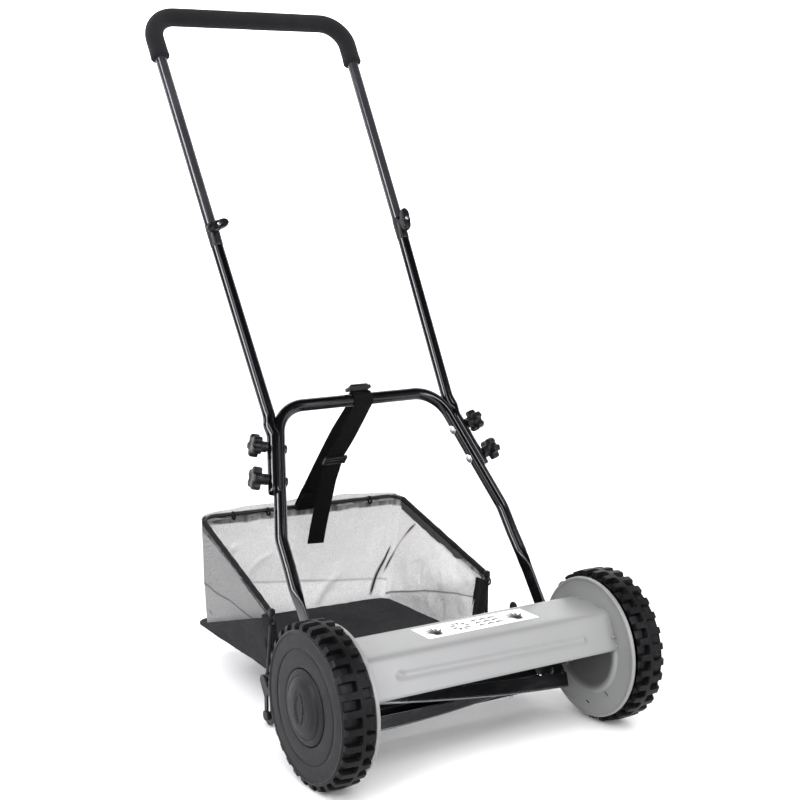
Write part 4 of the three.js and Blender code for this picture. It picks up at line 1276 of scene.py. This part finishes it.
def band(line, thick, width=STRAP_WIDTH, sway=lambda s: 0.0, twist=lambda s: 0.0, cut_slant=0.0):
    """Webbing along a line in the Y-Z plane, with rounded selvedges."""
    along = np.gradient(line, axis=0)
    along /= np.linalg.norm(along, axis=1)[:, None]
    normal = np.column_stack([-along[:, 1], along[:, 0]])
    stops = lengths(line)
    half = width / 2
    edge = [(half, 0), (half - 0.5, 0.4), (half - 1.4, 0.5), (half * 0.5, 0.46)]
    edge = [(-u, v) for u, v in edge] + [(0, 0.5)] + edge[::-1]
    section = edge + [(u, -v) for u, v in reversed(edge[1:-1])]
    rings = []
    last = stops[-1]
    for point, out, ahead, s in zip(line, normal, along, stops):
        ring = []
        for u, v in section:
            slant = cut_slant * u / width * max(0.0, 1 - (last - s) / 8.0)
            lift = v * thick + u * twist(s)
            y, z = point + out * lift + ahead * slant
            ring.append((STRAP_X + u + sway(s), y, z))
        rings.append(ring)
    return loft(rings)


def ladder(centre, lean, wide, high, bars):
    """A plastic adjuster: bars across the strap between two side rails."""
    through = np.array([0.0, *polar(lean)])
    along = np.cross(X_AXIS, through)
    axes = [X_AXIS, through, along]
    made = [box_part(centre + along * v, (wide, 4.6, 3.4), 1.1, axes) for v in bars]
    for end in (-1, 1):
        made.append(box_part(centre + X_AXIS * end * (wide / 2 - 1.6), (3.2, 5.2, high), 1.1, axes))
    return merged(*made)


def make_strap():
    bar_radius = LOWER_TUBE_RADIUS + 1.3
    tail = smooth_line([(357.5, 221), (366, 203), (378, 182), (388, 158), (400, 128), (410, 102), (418, 78)])
    over_bar = arc_round_bar(bar_radius, 60, 217, 12)
    front = smooth_line([*over_bar, (298.5, 283.6), (328, 250.5), (357.5, 221)], 5)
    over_bar = arc_round_bar(bar_radius + 1.4, 118, 20, 9)
    back = smooth_line([*over_bar, (300, 306), (340, 267), (382, 220), (428, 166), (443, 147.4)], 6)
    # The loop round the bag's back wire is a piece of its own, because it rides on the bag.
    loop = smooth_line([(432, 161), (449, 140), (455.4, 131.5), (456.5, 127), (453, 124.6), (449.2, 126.6),
                        (446, 133.5), (432, 152)], 6)
    add("strap_loop", *band(loop, 2.9, STRAP_WIDTH - 0.4), WEBBING, "bag", (), 50)
    parts = [band(tail, STRAP_THICK, STRAP_WIDTH - 0.6, twist=lambda s: 0.03 * s / 150, cut_slant=3.0),
             band(front, STRAP_THICK, STRAP_WIDTH), band(back, STRAP_THICK, STRAP_WIDTH - 1.2)]
    stitches = []
    for u in np.linspace(-12, 12, 13):
        for y, z in ((432.1, 165.6), (425.1, 173.8)):
            stitches.append(bead((STRAP_X + u, y, z), 0.45, 4))
    add("strap_band", *merged(*parts), WEBBING, "strap", ["strap"], 50)
    add("strap_stitching", *merged(*stitches), BINDING, "strap", (), 60)

    above_bar = np.array([STRAP_X - 5, BAR[0], BAR[1] + LOWER_TUBE_RADIUS])
    slider = merged(ladder(above_bar + [0, -2.0, 7.6], 1.15, 34, 17, (-6.6, 0, 6.6)),
                    box_part(above_bar + [0, -5.0, 9.4], (30, 9, 10), 2.2))
    add("strap_adjuster", *slider, KNOB, "strap", ["strap_slider"], 40)
    buckle = ladder((STRAP_X, 356.5, 217.0), 0.72, 37, 16, (-6.2, 0.5, 6.2))
    add("strap_clasp", *buckle, KNOB, "strap", ["strap_buckle"], 40)


# ------------------------------------------------------------------ grass bag
def bag_wire_route():
    foot = BAG_PEG + np.array([0, 0, 7.0])
    corners = [foot, BAG_FRONT, BAG_BACK, mirror_point(BAG_BACK), mirror_point(BAG_FRONT), mirror_point(foot)]
    return bent_route(corners, [12, 22, 22, 12], 10, 12.0)


def ring_part(centre, radius, wire):
    """A ring of round wire about X."""
    rings = []
    for turn in full_circle(28):
        ring = []
        for out, along in (polar(around, wire) for around in full_circle(14)):
            ring.append(centre + np.array([along, *polar(turn, radius + out)]))
        rings.append(ring)
    return loft(rings, closed=True)


def make_bag_frame():
    side = unit(np.cross(X_AXIS, BAG_BACK - BAG_FRONT))
    wire = tube(bag_wire_route(), WIRE_RADIUS, side, 16, 0.3)
    eyes = [ring_part(p, 6.8, WIRE_RADIUS) for p in (BAG_PEG, mirror_point(BAG_PEG))]
    add("bag_wire", *merged(wire, *eyes), POWDER, "bag", ["bag_frame"], 60)


def wall_outline(t, top):
    """The bag's plan at the floor (top 0) and at the wire (top 1): t runs 0 to 1 from the left
    front corner, round the back, to the right front corner."""
    low = ([-160.5, -159, -149, 149, 159, 160.5], [229, 461, 470, 470, 461, 229])
    high = ([-176, -173, -161, 161, 173, 176], [216, 443, 455.2, 455.2, 443, 216])
    stops = [0.0, 0.32, 0.35, 0.65, 0.68, 1.0]
    return [np.interp(t, stops, a) * (1 - top) + np.interp(t, stops, b) * top for a, b in zip(low, high)]


def wire_height(y):
    return 51 + (min(y, 452) - 215) * (129 - 51) / (452 - 215)


LEFT_SEAM = 0.335
RIGHT_SEAM = 0.665
MESH_THICK = 0.8
PINCHED = 0.004  # a fold narrower than this is pinched, and gets dark painted shade
CREASES = (
    # start t, height, end t, height, width, depth
    (0.629, 0.06, 0.664, 0.50, 0.0036, 4.2), (0.655, 0.27, 0.742, 0.86, 0.0036, 4.4),
    (0.10, 0.03, 0.16, 0.16, 0.0036, 3.0), (0.36, 0.80, 0.40, 0.62, 0.0080, 2.6),
    (0.41, 0.36, 0.45, 0.58, 0.0060, 3.0), (0.53, 0.02, 0.57, 0.30, 0.0070, 3.0),
    (0.365, 0.45, 0.40, 0.70, 0.0055, 2.2), (0.24, 0.55, 0.31, 0.44, 0.0070, 3.4),
    (0.26, 0.04, 0.305, 0.17, 0.0034, 3.4), (0.72, 0.35, 0.80, 0.62, 0.0080, 2.0),
)


def crease_at(t, high):
    depth = 0.0
    shade = 0.0
    for t0, h0, t1, h1, width, size in CREASES:
        span = np.array([t1 - t0, (h1 - h0) * 0.25])
        here = np.array([t - t0, (high - h0) * 0.25])
        s = np.clip(here @ span / (span @ span), 0, 1)
        bow = 0.006 * math.sin(math.pi * s)
        away = np.linalg.norm(here - span * s + np.array([bow, 0]))
        fade = math.sin(math.pi * min(max(s, 0.02), 0.98)) ** 0.5
        depth += size * fade * math.exp(-((away / width) ** 2))
        # Each crease gets painted shade along its line, the pinched ones darkest.
        dark, spread = (2.6, 0.62) if width < PINCHED else (0.2, 0.8)
        shade = max(shade, dark * fade * math.exp(-((away / (spread * width)) ** 2)))
    return depth, shade


def wall_point(t, v, crease_depth):
    """Where the wall is at t along its plan and v of the way up: it sags and waves between its edges."""
    x, y = wall_outline(t, v)
    back = 1 - smooth(abs(t - 0.5) / 0.2 - 0.55)
    top = wire_height(y) + (2.5 if v > 0.93 else 1.0)
    z = FLOOR_Z - 2.0 + (top - FLOOR_Z + 2.0) * v
    sag = math.sin(math.pi * v)
    away = np.array([x, 0.0]) * (1 - back) / max(abs(x), 1) + np.array([0.0, 1.0]) * back
    bulge = 5.0 * sag * back - 4.5 * sag * (1 - back)
    wave = 4.4 * lumps(t * 17, v * 2.6, 3.1) + 1.3 * lumps(t * 60, v * 6, 8.4)
    shift = (bulge + wave * sag**0.5 - crease_depth) * float(smooth(min(t, 1 - t) / 0.045))
    z += 2.0 * sag * lumps(t * 14, v * 3, 12.0)
    return x + away[0] * shift, y + away[1] * shift, z


def wall_shade(t, v, crease_shade):
    """How dark the wall is: its cross seam, its ragged hem, and painted shade in its creases."""
    if t < LEFT_SEAM:
        seam_height, seam_dark = 0.4 + 0.1 * (LEFT_SEAM - t) / LEFT_SEAM, 0.85
    elif t < RIGHT_SEAM:
        seam_height, seam_dark = 0.38 - 0.2 * (t - LEFT_SEAM) / (RIGHT_SEAM - LEFT_SEAM), 0.45
    else:
        seam_height, seam_dark = 0.05 + 0.55 * ((t - RIGHT_SEAM) / (1 - RIGHT_SEAM)) ** 1.2, 0.85
    seam = seam_dark * math.exp(-((v - seam_height) * 110) ** 2)
    edge = 0.9 + 0.015 * lumps(t * 40, 0.0, 21.0)
    hem = (0.68 + 0.3 * lumps(t * 160, v * 9, 4.4)) * float(smooth((v - edge) / 0.012))
    above = 0.07 * float(smooth((v - seam_height) / 0.03))
    return float(np.clip(max(seam, hem, crease_shade, above), 0, 1))


def bag_wall(first, last, columns, rows):
    """A stretch of the bag's wall as an outer and an inner skin, with a shade for each point."""
    points = []
    shades = []
    for v in np.arange(rows) / (rows - 1):
        for t in first + (last - first) * np.arange(columns) / (columns - 1):
            crease_depth, crease_shade = crease_at(t, v)
            points.append(wall_point(t, v, crease_depth))
            shades.append(wall_shade(t, v, crease_shade))
    points = np.array(points).reshape(rows, columns, 3)
    du = np.gradient(points, axis=1)
    dv = np.gradient(points, axis=0)
    normal = np.cross(du, dv)
    normal /= np.linalg.norm(normal, axis=2)[:, :, None]
    half = normal * MESH_THICK / 2
    return *doubled(points + half, points - half, rows, columns), shades * 2


def make_bag_walls():
    """Three sheets, with the size each was cut to in metres."""
    for side, first, last, look, columns, flat, stands_for in (
        ("left", 0.0, LEFT_SEAM, MESH_SHADED, 150, (0.25, 0.18), ()),
        ("back", LEFT_SEAM, RIGHT_SEAM, MESH_PALE, 260, (0.335, 0.185), ["bag_mesh"]),
        ("right", RIGHT_SEAM, 1.0, MESH_PALE, 180, (0.25, 0.18), ()),
    ):
        points, faces, shades = bag_wall(first, last, columns, 92)
        piece = add(f"bag_{side}_mesh", points, faces, look, "bag", stands_for, 60, shades, recalculate=False)


def make_bag_hem():
    """The doubled mesh that stands up over the back wire, gathered by loops."""
    rows, columns = 9, 140

    def place(u, v):
        rise = 10.0 * math.sin(math.pi * u) ** 0.35 * (1 + 0.3 * lumps(u * 9, 0.0, 5.5))
        y = 457.6 + 0.8 * math.sin(v * math.pi) + 1.3 * lumps(u * 26, v * 1.5, 7.7)
        return -170 + 340 * u, y - 4.8 * abs(2 * u - 1) ** 8, 122 + (rise + 7) * v

    back = grid_points(rows, columns, place)
    hem = doubled(back - np.array([0, 0.9, 0]), back, rows, columns)
    shades = [0.1] * columns * (rows - 1) + [0.22] * columns
    add("bag_back_hem", *hem, MESH_PALE, "bag", (), 60, shades * 2)
    loops = [ring_part(np.array([x, 452, 126.5]), 5.2, 1.5) for x in (-118.0, -60.0, 118.0)]
    add("bag_loops", *merged(*loops), BINDING, "bag", (), 60)


def make_arm_edge(side, mirror):
    """Black binding wrapped round one arm of the wire, and the mesh that hangs below it."""
    arm = BAG_BACK - BAG_FRONT
    route = bent_route([BAG_FRONT + unit(arm) * 6, BAG_BACK - unit(arm) * 14], [], straight_step=5.0)

    def lumpy(s):
        lump = 0.7 * lumps(s * 0.07, mirror, 0.3) + 0.4 * lumps(s * 0.3, mirror, 2.0)
        return 4.1 + lump, 3.9 + lump

    wrap = swept(route, lumpy, unit(np.cross(X_AXIS, arm)), 20)
    add(f"{side}_arm_binding", *flipped(wrap, mirror), BINDING, "bag", (), 60)
    drops = (2.0, 9.0, 15.5)
    skirt = np.stack([route - np.array([2.0 + 0.03 * drop, 0, drop]) for drop in drops])
    skirt[1:, :, 2] += np.array([1.2 * lumps(y * 0.08, 0, mirror) for y in route[:, 1]])
    hem = doubled(skirt - np.array([0.9, 0, 0]), skirt, len(drops), len(route))
    add(f"{side}_arm_hem", *flipped(hem, mirror), MESH_SHADED, "bag", (), 60, [0.8] * len(hem[0]))


def make_bag_trim():
    """The arms' edges, the front flaps, the gussets that rise from the floor, and the wire's clips."""
    for side, mirror in SIDES:
        make_arm_edge(side, mirror)
    add_pair("front_flap", flap_mesh(), BINDING, "bag", sharp=60)
    add_pair("gusset", gusset_mesh(), FLOOR_CLOTH, "bag", sharp=60)
    clip = merged(ring_part(BAG_FRONT + np.array([0, -3.0, -8.0]), 5.6, 1.4),
                  box_part(BAG_FRONT + np.array([0, 0.5, 1.0]), (8.5, 9, 11), 2.0))
    add_pair("wire_clip", clip, KNOB, "bag")


def flap_mesh():
    """Doubled black cloth wrapped round the frame's front upright."""
    count = 27
    rings = []
    for k, z in enumerate(np.linspace(44, -34, count)):
        v = k / (count - 1)
        wide = 26.0 - 5.0 * v + 1.6 * lumps(0, z * 0.05, 1.0)
        thick = 6.0 + 0.6 * lumps(3, z * 0.09, 1.0)
        ring = []
        for turn in full_circle(28):
            c, s = (math.copysign(abs(part) ** 0.6, part) for part in polar(turn))
            fold = 1.1 * math.sin(1.1 * s * wide * 0.5 + 0.06 * z) * (s > 0)
            ring.append((176.0 - 9.0 * v + thick * c + fold, 225.0 + 3.0 * v + wide * 0.5 * s, z))
        rings.append(ring)
    return loft(rings)


def gusset_mesh():
    """The floor cloth's side, folded up in a triangle to the frame's front corner, in soft folds."""
    rows, columns = 22, 60

    def place(u, v):
        low, high = -41.5, -38 + 82 * u
        fold = 2.2 * math.sin(math.pi * v) * lumps(u * 3.0 + v * 2.4, v * 3.0, 6.0)
        ridge = math.exp(-(((v - 0.25 - 0.45 * u) / 0.09) ** 2))
        fold += 2.6 * ridge * math.sin(math.pi * min(1, u * 1.4))
        return 164.0 + 13.0 * v * u + fold + 0.6, 470 - 248 * u, low + (high - low) * v

    outer = grid_points(rows, columns, place)
    return doubled(outer, outer - np.array([1.0, 0, 0]), rows, columns)


def make_bag_floor():
    """A stiffened woven floor, with a bound lip that stands out behind the back wall."""
    rows, columns = 60, 70

    def place(u, v):
        side = 2 * u - 1
        round_corner = 14 * max(0.0, (v - 0.93) / 0.07) ** 2.2
        x = side * (162 + 1.5 * lumps(v * 5, 0, 0) - round_corner)
        z = FLOOR_Z - 0.4 - 1.6 * abs(side) ** 8 + 1.4 * lumps(side * 3, v * 3.5, 2.0)
        return x, 229 + 271 * v, z + 0.5 * lumps(side * 14, v * 12, 4.0)

    top = grid_points(rows, columns, place)
    under = top.copy()
    under[:, 2] = FLOOR_Z - 4.0 + 0.4 * (top[:, 2] - FLOOR_Z)
    add("bag_floor_panel", *doubled(top, under, rows, columns), FLOOR_CLOTH, "bag", ["bag_floor"], 60)


# ------------------------------------------------------------------ stage, light and camera
def stage_card(name, corners, grey, roughness=0.5, glow=0.0, location=(0, 0, 0), turn=0.0):
    """A flat card of the studio, not a piece of the mower."""
    mesh = bpy.data.meshes.new(name)
    mesh.from_pydata(corners, [], [(0, 1, 2, 3)])
    look = bpy.data.materials.new(name)
    look.use_nodes = True
    shader = look.node_tree.nodes["Principled BSDF"]
    shader.inputs["Base Color"].default_value = (grey, grey, grey, 1)
    shader.inputs["Roughness"].default_value = roughness
    shader.inputs["Emission Color"].default_value = (1, 1, 1, 1)
    shader.inputs["Emission Strength"].default_value = glow
    mesh.materials.append(look)
    card = placed(name, mesh)
    card.location = location
    card.rotation_euler = (0, 0, turn)


def lamp(name, kind, place, target, **settings):
    light = bpy.data.lights.new(name, kind)
    for key, value in settings.items():
        setattr(light, key, value)
    made = placed(name, light)
    made.location = place
    made.rotation_euler = (Vector(target) - Vector(place)).to_track_quat("-Z", "Y").to_euler()
    return made


def area_lamp(name, place, target, power, wide, high, color=(1, 1, 1)):
    shape = {"shape": "RECTANGLE", "size": wide, "size_y": high}
    return lamp(name, "AREA", place, target, energy=power, color=color, **shape)


def make_stage():
    floor = [(-30, -30, 0), (30, -30, 0), (30, 30, 0), (-30, 30, 0)]
    stage_card("studio_floor", floor, 0.92, roughness=0.9)
    wall = [(-9, 0, -1), (9, 0, -1), (9, 0, 9), (-9, 0, 9)]
    stage_card("backdrop", wall, 0.9, glow=0.75, location=(3.2, 5.2, 0), turn=-math.radians(31.8))

    world = bpy.data.worlds.new("studio")
    world.use_nodes = True
    background = world.node_tree.nodes["Background"]
    background.inputs["Color"].default_value = (0.98, 0.98, 1, 1)
    background.inputs["Strength"].default_value = 0.5
    scene.world = world
    world.cycles_visibility.glossy = False

    sky = lamp("sky", "SUN", (-1.0, -2.4, 3.2), (0, 0, 0), energy=3.3, angle=math.radians(70))
    sky.visible_glossy = False
    area_lamp("key", (-2.3, -1.6, 1.9), (0, 0, 0.35), 34, 0.9, 2.4)
    area_lamp("rim", (-1.9, 2.6, 1.8), (0, 0, 0.5), 30, 0.7, 2.2, (0.92, 0.91, 1.0))
    area_lamp("fill", (2.2, -1.5, 1.2), (0, 0, 0.3), 10, 0.8, 1.8)
    # The strips show only in reflections, as bright lines on the tubes.
    for name, place, power in (("strip_left", (-2.6, 0.1, 1.5), 110), ("strip_front", (0.9, -2.6, 1.6), 60)):
        strip = area_lamp(name, place, (0, 0.1, 0.5), power, 0.8, 2.4, (0.95, 0.94, 1.0))
        strip.visible_diffuse = False


def make_camera():
    azimuth = math.radians(-31.848)
    elevation = math.radians(9.551)
    back = Vector((math.sin(azimuth) * math.cos(elevation), -math.cos(azimuth) * math.cos(elevation),
                   math.sin(elevation)))
    right = Vector((0, 0, 1)).cross(back).normalized()
    up = back.cross(right)
    data = bpy.data.cameras.new("camera")
    data.sensor_width = 36
    data.lens = 69.63
    camera = placed("camera", data)
    camera.matrix_world = Matrix((right, up, back)).transposed().to_4x4()
    camera.matrix_world.translation = Vector((np.array([-1090.58, -1583.53, 680.91]) + AXLE) / 1000)
    scene.camera = camera
    scene.view_settings.view_transform = "Standard"


make_camera()
make_stage()
dress_cad_nodes()
make_wheels()
make_plates()
make_deck()
make_label()
make_reel()
make_bolts()
make_gap_shade_lip()
make_roller()
make_hoop()
make_leg_fittings()
make_upper_handle()
make_wing_knobs()
make_strap()
make_bag_frame()
make_bag_floor()
make_bag_walls()
make_bag_hem()
make_bag_trim()
